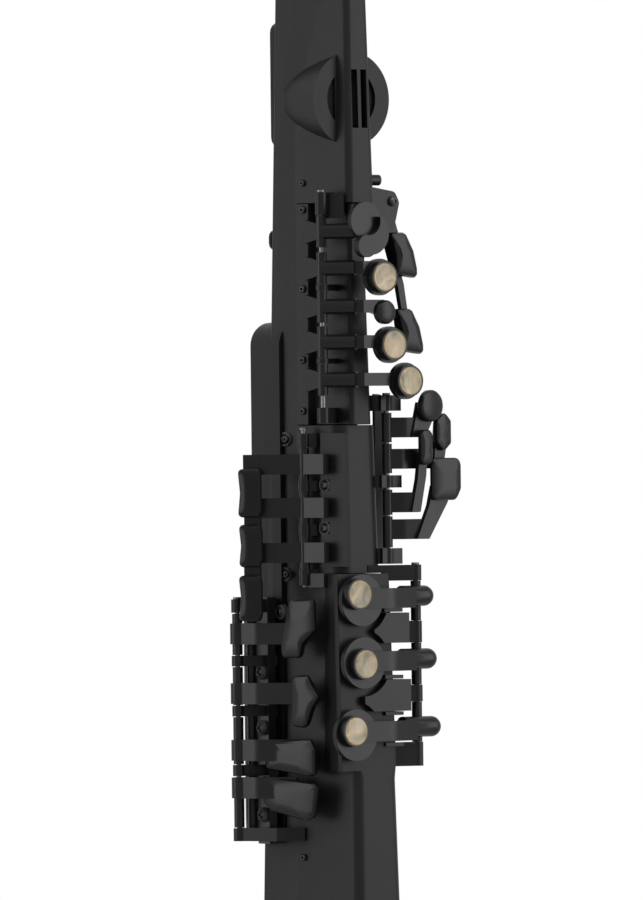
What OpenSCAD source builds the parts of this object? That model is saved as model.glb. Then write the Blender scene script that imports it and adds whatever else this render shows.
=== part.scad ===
// Digital wind controller, upright on its bell: +Z runs from the bell to the neck,
// -Y is the front that the finger pearls face, and +Y is the side towards the player.
// The origin is the centre of the bell rim.

/* [Housing] */
// Height of the wide datum section, near the foot of the keys
low_z = 210; // [200:1:220]
// Height of the narrow datum section, above the keys
high_z = 750; // [745:1:755]
// Width of the front face at the low datum
front_w_low = 33; // [31.4:0.2:34]
// Width of the front face at the high datum
front_w_high = 15; // [14:0.2:17]
// Width of the back face at the low datum
back_w_low = 61; // [58:0.5:63]
// Width of the back face at the high datum
back_w_high = 52; // [50:0.5:54]
// Depth from front to back at the low datum
depth_low = 79; // [77:0.5:81]
// Depth from front to back at the high datum
depth_high = 51; // [50:0.5:53]
// Wall of the moulded shells
wall = 2.4; // [2:0.1:2.8]
// Where the front and rear shells meet
seam_y = 10; // [9:0.5:11]
// Top of the housing, where the neck starts
top_z = 800; // [795:1:806]
// Top of the upper stack's key bed
bed_top_z = 628; // [626:1:630]
// Foot of the key bed
bed_z = 495; // [494:0.5:496]
// Foot of the middle section
mid_z = 406; // [405:0.5:407]
// Foot of the housing, where the bell starts
foot_z = 110; // [106:1:114]
// Set-back of the key bed from the front face
bed_recess = 6; // [5:0.5:7]
// Set-back of the key bed's sides, in front of its rim
bed_step = 6; // [5:0.5:6.5]
// Set-back of the middle section
mid_recess = 10; // [9:0.5:11]

/* [Speaker] */
// Height of the speaker's centre
speaker_z = 690; // [686:1:694]
// Radius of the speaker housing
speaker_r = 28.4; // [27:0.2:29]
// Radius of the speaker's opening
speaker_hole_r = 18; // [16:0.5:20]
// Set-back of the speaker's face from the spine
speaker_back = 8; // [7:0.5:9]
// Height of the slots in the spine
slot_h = 35; // [30:1:38]
// Width of each slot
slot_w = 4.4; // [3.5:0.1:5]

/* [Keys] */
// Radius of the hinge rods
rod_r = 1.5; // [1.3:0.1:1.7]
// Outer radius of the key tubes and post bearings
tube_r = 3.1; // [2.9:0.1:3.4]
// Clearance between a rod and a key tube
rod_gap = 0.06; // [0.04:0.01:0.08]
// Gap between neighbours on a rod
end_gap = 0.3; // [0.25:0.05:0.4]
// Thickness of a key arm
arm_t = 3.4; // [3:0.1:3.8]
// Radius of a finger pearl
pearl_r = 8.1; // [7.6:0.1:8.3]
// Radius of the ring that holds a pearl
ring_r = 9.4; // [9.2:0.1:9.7]
// Radius of the flange under a pearl ring
flange_r = 11; // [10.4:0.1:11.3]
// Height of a pearl ring
ring_h = 4.5; // [4:0.1:5]
// Radius of the lower stack's cups
cup_r = 15.4; // [14.8:0.1:15.8]
// Thickness of the cups
cup_h = 3.4; // [3:0.1:3.8]

/* [Bell and mouthpiece] */
// Radius of the bell rim
bell_r = 50; // [48:0.5:52]
// Radius of the bell's straight throat
throat_r = 24; // [22:0.5:25]
// Length of the bell's straight throat
throat_h = 40; // [36:1:44]
// Wall of the bell
bell_wall = 2; // [1.8:0.1:2.6]
// Radius of the neck's cork
cork_r = 8; // [7.6:0.1:8.4]
// Lean of the neck and mouthpiece from upright
neck_lean = 64; // [60:1:68]
// Radius of the neck's bend
neck_bend_r = 62; // [58:1:66]

/* [Hidden] */
$fn = 48;
touch_gap = 0.3;
arm_h = 7.8;

// The housing tapers evenly, so each of its sizes is worked out from the height.
function mix(a, b, t) = a + (b - a) * t;
function share(z) = (high_z - z) / (high_z - low_z);
function front_half(z) = mix(front_w_high, front_w_low, share(z)) / 2;
function back_half(z) = mix(back_w_high, back_w_low, share(z)) / 2;
function half_depth(z) = mix(depth_high, depth_low, share(z)) / 2;
function side_half(z, y) =
    mix(front_half(z), back_half(z), (y + half_depth(z)) / (2 * half_depth(z)));

// A corner q between p and s, rounded to radius r with n steps.
function unit(v) = v / norm(v);
function turned(v, a) = [v.x * cos(a) - v.y * sin(a), v.x * sin(a) + v.y * cos(a)];
function round_corner(p, q, s, r, n) =
    let (a = unit(p - q), b = unit(s - q), half = acos(a * b) / 2,
        left = cross(q - p, s - q) > 0 ? 1 : -1,
        centre = q + unit(a + b) * r / sin(half),
        start = q + a * r / tan(half) - centre)
    [for (i = [0:n]) centre + turned(start, left * (180 - 2 * half) * i / n)];
function rounded(points, radii, n = 5) =
    let (m = len(points))
    [for (i = [0:m - 1]) each round_corner(
        points[(i + m - 1) % m], points[i], points[(i + 1) % m], radii[i], n)];

// The housing's outline at height z, with its front face set back.
function outline(z, recess, r_front, r_back, inset) =
    let (y0 = -half_depth(z) + recess, y1 = half_depth(z),
        x0 = side_half(z, y0) - inset, x1 = back_half(z) - inset)
    rounded([[-x0, y0 + inset], [x0, y0 + inset], [x1, y1 - inset], [-x1, y1 - inset]],
        [r_front, r_front, r_back, r_back]);
function raised(points, z) = [for (p = points) [p.x, p.y, z]];

// A closed solid through a stack of rings that have equally many points.
module loft(rings) {
    n = len(rings[0]);
    m = len(rings);
    polyhedron(
        [for (ring = rings) each ring],
        [[for (i = [0:n - 1]) i],
            [for (i = [0:n - 1]) m * n - 1 - i],
            for (k = [0:m - 2], i = [0:n - 1])
                let (j = (i + 1) % n) each [
                    [k * n + i, (k + 1) * n + j, k * n + j],
                    [k * n + i, (k + 1) * n + i, (k + 1) * n + j]]]);
}

back_corner_r = 3.5;
module envelope(z0, z1, recess = 0, r = 5, inset = 0) {
    loft([for (z = [z0, z1])
        raised(outline(z, recess, max(r - inset, 0.6), back_corner_r - inset, inset), z)]);
}
module envelope_shell(z0, z1, recess = 0, r = 5) {
    difference() {
        envelope(z0, z1, recess, r);
        envelope(z0 - 1, z1 + 1, recess, r, wall);
    }
}
// The key bed is full width behind its rim, and a narrower channel in front of it.
rim_y = 0.6;
bed_front_r = 3;
function bed_rear(z, inset) =
    let (y0 = rim_y + inset, y1 = half_depth(z) - inset,
        x0 = side_half(z, y0) - inset, x1 = back_half(z) - inset, r = back_corner_r - inset)
    rounded([[-x0, y0], [x0, y0], [x1, y1], [-x1, y1]], [0.6, 0.6, r, r], 3);
function bed_front(z, inset) =
    let (y0 = -half_depth(z) + bed_recess + inset, y1 = rim_y + inset + 3,
        x0 = side_half(z, y0) - bed_step - inset, x1 = side_half(z, y1) - bed_step - inset,
        r = max(bed_front_r - inset, 0.6))
    rounded([[-x0, y0], [x0, y0], [x1, y1], [-x1, y1]], [r, r, 0.6, 0.6], 3);
module bed_block(z0, z1, inset = 0, over = 0) {
    loft([for (z = [z0 - over, z1 + over]) raised(bed_rear(z, inset), z)]);
    loft([for (z = [z0 - over, z1 + over]) raised(bed_front(z, inset), z)]);
}
// Everything behind, or in front of, the plane where the two shells meet.
module beyond_seam(side) {
    big = 200;
    translate([-big / 2, side > 0 ? seam_y : seam_y - big, -1])
        cube([big, big, top_z + 2]);
}
// The outside of the housing by zones, which posts and covers are cut to fit.
spine_r = 5;
lower_corner_r = 2.5;
mid_corner_r = 10;
foot_corner_r = 7;
foot_blend_z = 288;
// The lower section: its front corners grow rounder below the ledge.
module lower_block(z1, inset = 0, over = 0) {
    loft([for (step = [[foot_z - over, foot_corner_r], [foot_blend_z - 5, foot_corner_r],
        [foot_blend_z + 5, lower_corner_r], [z1 + over, lower_corner_r]])
        raised(outline(step[0], 0, max(step[1] - inset, 0.6), back_corner_r - inset, inset),
            step[0])]);
}
module upper_outside() {
    envelope(bed_top_z, top_z, 0, spine_r);
    bed_block(bed_z, bed_top_z);
}
module table_outside() {
    bed_block(bed_z, bed_top_z);
    envelope(mid_z, bed_z - 1, mid_recess, mid_corner_r);
}
module side_outside() {
    envelope(mid_z, bed_z, mid_recess, mid_corner_r);
    lower_block(mid_z);
    ledge();
}
module lower_outside() {
    envelope(mid_z, bed_z, mid_recess, mid_corner_r);
    lower_block(mid_z);
    ledge();
}

// The rear of the housing is one even taper, so what seats there is cut to this.
module rear_outside() {
    envelope(foot_z, top_z, 0, spine_r);
}

// A cylinder along Y, from y0 to y1.
module along_y(r, y0, y1, x = 0, z = 0) {
    translate([x, y1, z]) rotate([90, 0, 0]) cylinder(r = r, h = y1 - y0);
}
speaker_face_y = -half_depth(speaker_z) + speaker_back;
speaker_rear_y = half_depth(speaker_z) - back_corner_r / 2;
module speaker_cone(inset, y0, y1) {
    taper = 6 / (speaker_rear_y - speaker_face_y);
    translate([0, y1, speaker_z]) rotate([90, 0, 0])
        cylinder(r1 = speaker_r - inset - (y1 - speaker_face_y) * taper,
            r2 = speaker_r - inset - (y0 - speaker_face_y) * taper, h = y1 - y0);
}
module speaker_boss() {
    speaker_cone(0, speaker_face_y, speaker_rear_y);
}

module upper_front() color([0.12, 0.12, 0.13]) {
    bar = 1.2;
    spine_half = side_half(speaker_z, speaker_face_y) + 1;
    difference() {
        union() {
            envelope(bed_top_z, top_z, 0, spine_r);
            speaker_boss();
        }
        envelope(bed_top_z - 1, top_z + 1, 0, spine_r, wall);
        speaker_cone(wall, speaker_face_y + wall, speaker_rear_y + 1);
        difference() {
            along_y(speaker_hole_r, speaker_face_y - 1, speaker_face_y + wall + 1, z = speaker_z);
            translate([-spine_half, -60, speaker_z - 40]) cube([2 * spine_half, 60, 80]);
        }
        for (side = [-1, 1])
            translate([side * (slot_w / 2 + bar) - slot_w / 2, -half_depth(speaker_z) - 3,
                speaker_z - slot_h / 2])
                cube([slot_w, wall + 5, slot_h]);
        beyond_seam(1);
    }
}
module key_bed() color([0.13, 0.13, 0.14]) difference() {
    bed_block(bed_z, bed_top_z - touch_gap);
    bed_block(bed_z, bed_top_z - touch_gap, wall, 1);
    beyond_seam(1);
}
module middle_front() color([0.12, 0.12, 0.13]) difference() {
    envelope_shell(mid_z, bed_z - touch_gap, mid_recess, mid_corner_r);
    beyond_seam(1);
}
// The ledge on the left of the lower section carries the stack past its corner.
ledge_x = 26.6;
ledge_y = -12;
module ledge() {
    loft([for (z = [foot_blend_z, mid_z - touch_gap])
        raised(rounded([[-ledge_x, -half_depth(z)], [-front_half(z) + 4, -half_depth(z)],
            [-side_half(z, ledge_y) + 4, ledge_y], [-side_half(z, ledge_y) - 0.01, ledge_y],
            [-ledge_x, -half_depth(z) + 3.4]], [0.8, 0.5, 0.5, 0.3, 1.2], 2), z)]);
}
module lower_front() color([0.12, 0.12, 0.13]) {
    difference() {
        union() {
            lower_block(mid_z - touch_gap);
            ledge();
        }
        lower_block(mid_z, wall, 1);
        beyond_seam(1);
    }
}
module rear_shell() color([0.14, 0.14, 0.15]) {
    difference() {
        union() {
            envelope(foot_z, top_z, 0, spine_r);
            speaker_boss();
        }
        envelope(foot_z - 1, top_z + 1, 0, spine_r, wall);
        speaker_cone(wall, speaker_face_y, speaker_rear_y - wall);
        beyond_seam(-1);
        socket_holes();
    }
    for (spot = board_spots)
        along_y(2.6, board_y + 1.65, half_depth(spot.y) - 1, spot.x, spot.y);
    octave_posts();
    socket_panel();
}

// A bar of thickness t bent along a path in plan, with mitred bends.
function side_of(a, b) = let (d = unit(b - a)) [-d.y, d.x];
function mitre(path, i) =
    let (last = len(path) - 1,
        a = side_of(path[max(i - 1, 0)], path[max(i, 1)]),
        b = side_of(path[min(i, last - 1)], path[min(i + 1, last)]))
    unit(a + b) / (unit(a + b) * a);
function strip(path, t) = concat(
    [for (i = [0:len(path) - 1]) path[i] + mitre(path, i) * t / 2],
    [for (i = [len(path) - 1:-1:0]) path[i] - mitre(path, i) * t / 2]);
function eased(path, r, n = 4) = [
    path[0],
    for (i = [1:1:len(path) - 2]) each round_corner(path[i - 1], path[i], path[i + 1], r, n),
    path[len(path) - 1]];
module bar(path, t, z, h) {
    translate([0, 0, z - h / 2]) linear_extrude(h) polygon(strip(path, t));
}
// A plate of thickness t whose outline is drawn in X and Z, with its back at y.
module front_plate(points, y, t) {
    translate([0, y, 0]) rotate([90, 0, 0]) linear_extrude(t) polygon(points);
}

// Where each hinge rod stands, in plan.
upper_rod = [-23.8, -19.3];
table_rod = [20, -24];
side_rod = [-26.5, -3];
stack_rod = [36, -30];
pinky_rod = [-50, 34];

module standing(p, r, z0, z1) {
    translate([p.x, p.y, z0]) cylinder(r = r, h = z1 - z0);
}
module key_tube(p, z0, z1) {
    standing(p, tube_r, z0 + end_gap / 2, z1 - end_gap / 2);
}
// A key's solids with the running bore for its rod cut through them.
module on_rod(p, z) difference() {
    children();
    standing(p, rod_r + rod_gap, z - 60, z + 60);
}

// A moulded touch: rings that follow one outline, drawn in X and Z and facing -Y,
// swell to a crown of height t. The outline turns counter-clockwise.
function about(points, c, k) = [for (p = points) c + (p - c) * k];
function middle(points) = [for (p = points) 1] * points / len(points);
module touch(points, radii, t, crown = 0.8, n = 3) {
    line = rounded(points, radii, n);
    c = middle(line);
    rotate([90, 0, 0]) loft([
        raised(about(line, c, 0.93), 0),
        raised(line, 0.22 * t),
        raised(line, 0.66 * t),
        raised(about(line, c, 0.94), 0.9 * t),
        raised(about(line, c, 0.8), t),
        raised(about(line, c, 0.4), t + crown)]);
}
module facing(p, z, azimuth) {
    translate([p.x, p.y, z]) rotate([0, 0, azimuth]) children();
}

// The pearl and its ring, with the pearl's face towards -Y. base_y is the ring's foot.
pearl_t = 2.2;
pearl_seat = 0.05;
module pearl_ring(x, z, base_y) difference() {
    along_y(ring_r, base_y - ring_h, base_y, x, z);
    along_y(pearl_r + pearl_seat, base_y - ring_h - 1, base_y - ring_h + pearl_t, x, z);
}
module pearl(x, z, base_y) color([0.80, 0.75, 0.62]) {
    dish = 0.7;
    face_y = base_y - ring_h + pearl_t;
    translate([x, face_y, z]) rotate([90, 0, 0]) rotate_extrude()
        polygon([[0, 0], [pearl_r, 0], [pearl_r, pearl_t - 0.3], [pearl_r - 0.5, pearl_t + 0.1],
            [pearl_r * 0.72, pearl_t + 0.1], [pearl_r * 0.4, pearl_t - 0.3],
            [0, pearl_t + 0.1 - dish]]);
}

// Upper stack: each key is a flared tail, a tube on the rod, a round barrel that
// steps over the corner of the bed, and a flat arm that ends under its touch.
upper_base_y = -41.5;
upper_arm_y = -39;
barrel_r = 4.6;
barrel_end = [-11, -36];
module upper_lever(z, x_end, z_end) {
    tail = 13;
    tail_t = 3;
    along = barrel_end - upper_rod;
    standing(upper_rod, tube_r, z - 9.4, z + 9.4);
    translate([upper_rod.x, upper_rod.y, z])
        rotate([0, 0, atan2(along.y, along.x)]) rotate([0, 90, 0])
            cylinder(r = barrel_r, h = norm(along));
    translate([upper_rod.x - 0.5, upper_rod.y, z])
        rotate([0, 0, 97]) rotate([90, 0, 0]) linear_extrude(tail_t, center = true)
            polygon([[0, -4], [4, -5.2], [tail, -7.2], [tail, 7.2], [4, 5.2], [0, 4]]);
    bar([barrel_end - unit(along) * 3, [-8, upper_arm_y], [x_end, upper_arm_y]],
        arm_t, z, arm_h);
    if (abs(z_end - z) > 3)
        front_plate([[x_end - 9, z - arm_h / 2], [x_end + 2, z_end - 4], [x_end + 4, z_end + 4],
            [x_end - 2, z + arm_h / 2]], upper_arm_y + arm_t / 2, arm_t);
}
module pearl_holder(x, z, base_y) {
    along_y(flange_r, base_y - 0.01, base_y + 3.4, x, z);
    pearl_ring(x, z, base_y);
}
b_key_at = [3.5, 583];
a_key_at = [10.3, 542.5];
g_key_at = [21.9, 520.8];
bis_key_at = [6.7, 562];
module b_key() color([0.15, 0.15, 0.16]) on_rod(upper_rod, 588.7) {
    upper_lever(588.7, b_key_at.x, b_key_at.y);
    pearl_holder(b_key_at.x, b_key_at.y, upper_base_y);
}
module a_key() color([0.15, 0.15, 0.16]) on_rod(upper_rod, 544.4) {
    upper_lever(544.4, a_key_at.x, a_key_at.y);
    pearl_holder(a_key_at.x, a_key_at.y, upper_base_y);
}
module g_key() color([0.15, 0.15, 0.16]) on_rod(upper_rod, 521.9) {
    upper_lever(521.9, g_key_at.x, g_key_at.y);
    pearl_holder(g_key_at.x, g_key_at.y, upper_base_y);
}
module bis_key() color([0.15, 0.15, 0.16]) on_rod(upper_rod, 565.6) {
    bis_r = 7.2;
    upper_lever(565.6, bis_key_at.x, bis_key_at.y);
    translate([bis_key_at.x, upper_arm_y + 1, bis_key_at.y]) rotate([90, 0, 0])
        rotate_extrude() polygon([[0, 0], [bis_r - 1, 0], [bis_r, 1.2], [bis_r, 4.2],
            [bis_r - 1, 5.4], [bis_r - 3, 6], [0, 6.4]]);
}
module front_f_key() color([0.15, 0.15, 0.16]) on_rod(upper_rod, 610.6) {
    plate_at = [-7.2, 616.8];
    drop_at = [-9.2, 601.5];
    bow_at = [-6.2, 609.2];
    upper_lever(610.6, -4, 610.6);
    along_y(flange_r, upper_base_y, upper_base_y + 3.4, plate_at.x, plate_at.y);
    // The comma-shaped touch: a round end and a bow that follows the plate.
    translate([0, upper_base_y + 0.6, 0]) rotate([90, 0, 0]) linear_extrude(5) difference() {
        union() {
            translate(drop_at) circle(6.8);
            intersection() {
                translate(bow_at) circle(13);
                translate([drop_at.x, 590]) square([40, 29]);
            }
        }
        translate([-8, 616.5]) circle(8.6);
    }
}

// Lower stack: a cup with its pearl, a strap that rises to the right, and a round
// barrel that carries the tube on the rod.
cup_lift = 2.2;
stack_barrel_r = 6.2;
stack_barrel_y = -34.2;
function cup_back(z) = -half_depth(z - cup_r) - cup_lift;
module stack_key(z, cup, pearl_at, tube, end) color([0.15, 0.15, 0.16]) on_rod(stack_rod, z) {
    back = cup_back(cup.y);
    start = 21.5;
    along_y(cup_r, back - cup_h, back, cup.x, cup.y);
    pearl_ring(pearl_at.x, pearl_at.y, back - cup_h + 0.01);
    key_tube(stack_rod, tube[0], tube[1]);
    difference() {
        union() {
            translate([start, stack_barrel_y, z]) rotate([0, 90, 0])
                cylinder(r = stack_barrel_r, h = end - start);
            translate([end, stack_barrel_y, z]) sphere(stack_barrel_r, $fn = 32);
        }
        translate([start - 2.5, stack_barrel_y - 8, z]) scale([1, 1, 1.5])
            sphere(5.2);
    }
    bar(eased([[cup.x + 2, back - cup_h], [8, back - cup_h - 1.4],
        [start + 7, stack_barrel_y - stack_barrel_r + 1.8]], 30), 3, (z + cup.y) / 2, 12);
}
f_cup = [-12.3, 390];
e_cup = [-11.9, 352.6];
d_cup = [-19.2, 309.6];
f_pearl_at = [-17.2, 393.7];
e_pearl_at = [-13.9, 351.9];
d_pearl_at = [-22.8, 312];
module f_key() { stack_key(392, f_cup, f_pearl_at, [377, 401.2], 38.5); }
module e_key() { stack_key(354.3, e_cup, e_pearl_at, [338.6, 364], 40.5); }
module d_key() { stack_key(313.6, d_cup, d_pearl_at, [304.4, 328.6], 43); }

// Keys whose flat arm leaves the rod in plan along path and ends under a touch.
module flat_lever(p, z, h, tube_z0, tube_z1, path, t = 3) {
    key_tube(p, tube_z0, tube_z1);
    bar(path, t, z, h);
}

// Table keys, for the left little finger.
module table_1() color([0.15, 0.15, 0.16]) on_rod(table_rod, 493) {
    at = [43, -36];
    flat_lever(table_rod, 493, 12, 484, 502, eased([table_rod, [27, -31.5], [40, -33]], 5));
    facing(at, 505.8, 10) rotate([90, 0, 0]) rotate_extrude()
        polygon([[0, -1.4], [8.6, -1.4], [9.5, -0.4], [9.5, 2.2], [8.7, 3.4], [6, 4.2], [0, 4.6]]);
    front_plate([[31, 487], [41, 487], [48, 500], [46, 508], [36, 508]], -31.6, 3.4);
}
module table_2() color([0.15, 0.15, 0.16]) on_rod(table_rod, 474.2) {
    flat_lever(table_rod, 474.2, 12, 465.5, 483.5,
        eased([table_rod, [27, -28.5], [46, -29.5], [54, -30.6]], 4));
    front_plate([[49, 468.4], [56, 468.4], [59, 484], [57, 496], [51, 496]], -29.4, 3.2);
    facing([54, -32.4], 490, 6) touch([[-6, -6], [0, -12.3], [6, -7], [6, 7], [1, 12.3], [-6, 7]],
        [2, 3, 2, 2, 3, 2], 4, 0.6);
}
module table_3() color([0.15, 0.15, 0.16]) on_rod(table_rod, 448.1) {
    flat_lever(table_rod, 448.1, 12, 440.5, 456,
        eased([table_rod, [26, -32], [35, -34.5]], 5));
    front_plate([[29, 442.2], [35.5, 442.2], [40, 464], [41, 478], [35.5, 478], [33.5, 462]],
        -33.3, 3.4);
    facing([38, -36.6], 481, 4) touch([[-4.4, -10.5], [4.4, -10.5], [4.4, 10.5], [-4.4, 10.5]],
        [3, 3, 3, 3], 4, 0.6);
}
module table_4() color([0.15, 0.15, 0.16]) on_rod(table_rod, 432) {
    flat_lever(table_rod, 432, 12, 421, 440,
        eased([table_rod, [27, -30], [44, -33]], 5));
    front_plate([[34, 426.2], [43, 426.2], [57, 448], [59, 458], [46, 458], [43, 446]],
        -32, 3.4);
    facing([52.2, -35.2], 461.8, 0) touch([[-9, -12.7], [9, -12.7], [12.5, -6], [12.5, 12.7],
        [-9, 12.7]], [4, 4, 3, 4, 4], 4.4, 0.7);
}

// Side keys, pressed by the side of the right index finger.
// Each arm passes behind its neighbour's touch, and a stand-off carries its own.
side_turn = -50;
module side_key(z, h, touch_z, touch_h, dx) color([0.15, 0.15, 0.16]) on_rod(side_rod, z) {
    at = [-52 + dx, 17];
    off_top = touch_z + touch_h / 2 - 1.6;
    off_foot = off_top - 7.6;
    flat_lever(side_rod, z, h, z - 10, z + 10,
        eased([side_rod, [-36.4, 6.6], [-41.6, 12.6], [-45.4, 17.2]], 4));
    translate([side_rod.x, side_rod.y, z]) rotate([0, 0, -76])
        translate([1.5, -2.6, -h / 2]) cube([15.4, 5.2, h]);
    facing(at, 0, side_turn) {
        translate([-5, 3.4, off_foot]) cube([10, 3.2, z + h / 2 - off_foot - 0.01]);
        translate([-4.4, -0.2, off_foot]) cube([8.8, 4, off_top - off_foot]);
    }
    facing(at, touch_z, side_turn) touch([[-7, -touch_h / 2], [6, -touch_h / 2],
        [7.4, -touch_h / 2 + 4], [7.4, touch_h / 2 - 4], [6, touch_h / 2], [-7, touch_h / 2],
        [-5.6, 0]], [2.6, 2, 3, 3, 2, 2.6, 8], 4.2, 0.7);
}
module side_1() { side_key(471.6, 12, 454.6, 29, 0); }
module side_2() { side_key(445.5, 12, 423, 25.5, 0.4); }
module side_3() { side_key(418.7, 12, 391.6, 27.5, 0); }

// Keys for the right little finger, on the rod behind the lower left edge.
pinky_h = 12.8;
module pinky_key(z, tube_z0, tube_z1, at, touch_z, points, radii)
        color([0.15, 0.15, 0.16]) on_rod(pinky_rod, z) {
    inner = at + [2.2, 0.4];
    key_tube(pinky_rod, tube_z0, tube_z1);
    standing(pinky_rod, 4.4, z - pinky_h / 2 + 0.2, z + pinky_h / 2 - 0.2);
    bar(eased([pinky_rod, [-47, 20], inner + [0.4, -2]], 14), 3, z, pinky_h);
    facing(at, touch_z, -76) touch(points, radii, 4.6, 0.8);
}
module pinky_1() {
    pinky_key(370.3, 357.5, 382.5, [-33, -7], 373.6,
        [[-12.7, -11], [-12.4, -17.8], [1.5, -17.8], [3.9, -9.4], [13.1, -1.6], [12.4, 17.5],
            [-6.2, 17]], [3, 3, 2.4, 3, 3, 3, 5]);
}
module pinky_2() {
    pinky_key(334.5, 327.5, 350.5, [-31, -11], 330,
        [[-10, -15], [-1.9, -16], [1.4, -14.4], [5.6, -4.2], [11, 2.4], [5.6, 9], [1.4, 15.6],
            [-9.3, 15]], [3, 1.4, 1.4, 4, 2.4, 4, 2, 3]);
}
module pinky_3() {
    pinky_key(300.5, 292, 320.5, [-34, 1], 296.6,
        [[-18.9, -6.8], [15.4, -11.6], [19.1, -10.1], [19.1, 4], [15.4, 10.7], [-13.5, 9.1],
            [-19.5, 1]], [2.4, 1.6, 1.6, 4, 3, 4, 2.4]);
}
module pinky_4() {
    pinky_key(278, 254, 284.5, [-34.4, 1.4], 271.4,
        [[-19.8, -2.4], [-13.2, -7.4], [12.6, -12.8], [18.8, -10.7], [21.5, 7], [18.8, 9.4],
            [-20.8, 13.6], [-22.2, 9.4]], [3, 3, 3, 3, 1.6, 1.6, 1.6, 1.6]);
}

// Palm keys hang from one pin and are pressed towards the body.
palm_pin = [23, 628.5];
palm_pin_r = 1.6;
module palm_paddle(points, radii, y, t, bow_r) difference() {
    translate([0, y, 0]) rotate([90, 0, 0]) linear_extrude(t, center = true)
        polygon(rounded(points, radii, 4));
    along_y(palm_pin_r + rod_gap, -60, 20, palm_pin.x, palm_pin.y);
}
module palm_pad() {
    touch([[-6, 9], [-3.5, 0], [-3, -11.5], [12.7, -13.5], [12.5, -8], [9.8, 3], [3.7, 14],
        [-8.5, 14]], [2, 4, 1.6, 2, 4, 6, 2.4, 1.6], 7.2, 0.8);
}
module palm_1() color([0.15, 0.15, 0.16]) {
    palm_paddle([[19.4, 632], [20.5, 618], [24, 608], [27.5, 596], [32, 596], [31, 609],
        [27.6, 619], [26.6, 632]], [3.1, 4, 4, 1, 1, 4, 4, 3.1], -22, 3.6);
    facing([30.7, -19.8], 596, 0) palm_pad();
}
module palm_2() color([0.15, 0.15, 0.16]) {
    palm_paddle([[19.4, 632], [20.4, 618], [27, 600], [34, 578], [39, 552], [43, 552], [38.6, 579],
        [31.4, 602], [25.8, 620], [26.6, 632]], [3.1, 5, 6, 6, 1, 1, 6, 6, 5, 3.1], -16.6, 3.6);
    facing([38.3, -15.1], 550.3, 0) palm_pad();
}

// Posts stand on the housing and hold the rods; they are cut to its surface.
post_r = 3.6;
rod_seat = 0.02;
module post(p, z0, z1, foot, t) {
    standing(p, post_r, z0, z1);
    bar([p, foot], t, (z0 + z1) / 2, z1 - z0);
}
module seated(p) difference() {
    children(0);
    children(1);
    standing(p, rod_r + rod_seat, 200, 700);
}
upper_foot = [-4, -11];
module upper_posts() color([0.13, 0.13, 0.14]) {
    upper_stack_posts();
    palm_bracket();
}
module upper_stack_posts() seated(upper_rod) {
    union() {
        post(upper_rod, 620.3, 634, upper_foot, 3.6);
        post(upper_rod, 575.3, 579, upper_foot, 3.6);
        post(upper_rod, 531.6, 534.7, upper_foot, 3.6);
        post(upper_rod, 496, 505.2, upper_foot, 3.6);
        bar([[-13, -27.5], [-20.5, -16.5]], 2.4, 626, 15);
    }
    upper_outside();
}
module middle_posts() color([0.13, 0.13, 0.14]) {
    table_posts();
    side_posts();
}
module table_posts() seated(table_rod) {
    union() {
        for (span = [[503, 512.4], [457, 464.4], [411.3, 420.7]]) {
            post(table_rod, span[0], span[1], [8, -12], 5);
            bar([[14, -25.4], [29, -25.4]], 2.6, (span[0] + span[1]) / 2, span[1] - span[0]);
        }
    }
    table_outside();
}
module side_posts() seated(side_rod) {
    union() {
        for (span = [[481.6, 490], [455.5, 461.6], [428.7, 435.5], [399, 408.7]])
            post(side_rod, span[0], span[1], [-12, -7], 5);
        bar([[-26, -1], [-22, -16], [-12, -18.5]], 2.6, 402, 8.4);
    }
    side_outside();
}
module lower_posts() color([0.13, 0.13, 0.14]) {
    stack_posts();
    pinky_posts();
}
module stack_posts() seated(stack_rod) {
    union() {
        for (span = [[401.2, 410.6], [364, 377], [328.6, 338.6], [290, 304.4]])
            post(stack_rod, span[0], span[1], [5, -22], 6);
        guard(-2.7, 364.2, 382.2, f_cup, e_cup);
        guard(-11, 323.4, 342.4, e_cup, d_cup);
        for (z = [383.8, 343.9, 322, 303.4])
            front_plate([[6, z - 1.1], [19.5, z - 1.1], [19.5, z + 1.1], [6, z + 1.1]], -29, 9.6);
    }
    lower_outside();
}
// A raised guard between two cups, hollowed to follow both.
guard_gap = 4.8;
module guard(x0, z0, z1, above, below) difference() {
    front_plate([[x0, z0], [23.5, z0], [23.5, z1], [x0, z1]], -29, half_depth(z0) - 29 + 4.4);
    for (cup = [above, below])
        along_y(cup_r + guard_gap, -60, 0, cup.x, cup.y);
}
rail_top = 392;
rail_foot = 244;
module pinky_posts() seated(pinky_rod) {
    union() {
        for (span = [[383, 391], [350.8, 357.2], [320.8, 327.2], [285, 291.7], [246, 253.7]])
            post(pinky_rod, span[0], span[1], [-26.6, 27], 5);
        bar([[-33.5, 22], [-30, 38]], 5, (rail_top + rail_foot) / 2, rail_top - rail_foot);
        standing([-41.5, 32], 2.6, rail_foot + 2, rail_top - 2);
        bar([[-50, 34], [-40, 10], [-24, 4]], 3, 250, 8);
    }
    lower_outside();
}
module rod(p, z0, z1) {
    standing(p, rod_r, z0, z1);
    standing(p, rod_r + 0.9, z1, z1 + 1.4);
}
module hinge_rods() color([0.55, 0.56, 0.58]) {
    rod(upper_rod, 496, 634);
    rod(table_rod, 411.3, 512.4);
    rod(side_rod, 398, 492);
    rod(stack_rod, 290, 410.6);
    rod(pinky_rod, 246, 391);
    rod(octave_rod, 596, 617);
    along_y(palm_pin_r, -28.2, -12, palm_pin.x, palm_pin.y);
    along_y(palm_pin_r + 1.2, -29.6, -28.2, palm_pin.x, palm_pin.y);
}

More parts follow.
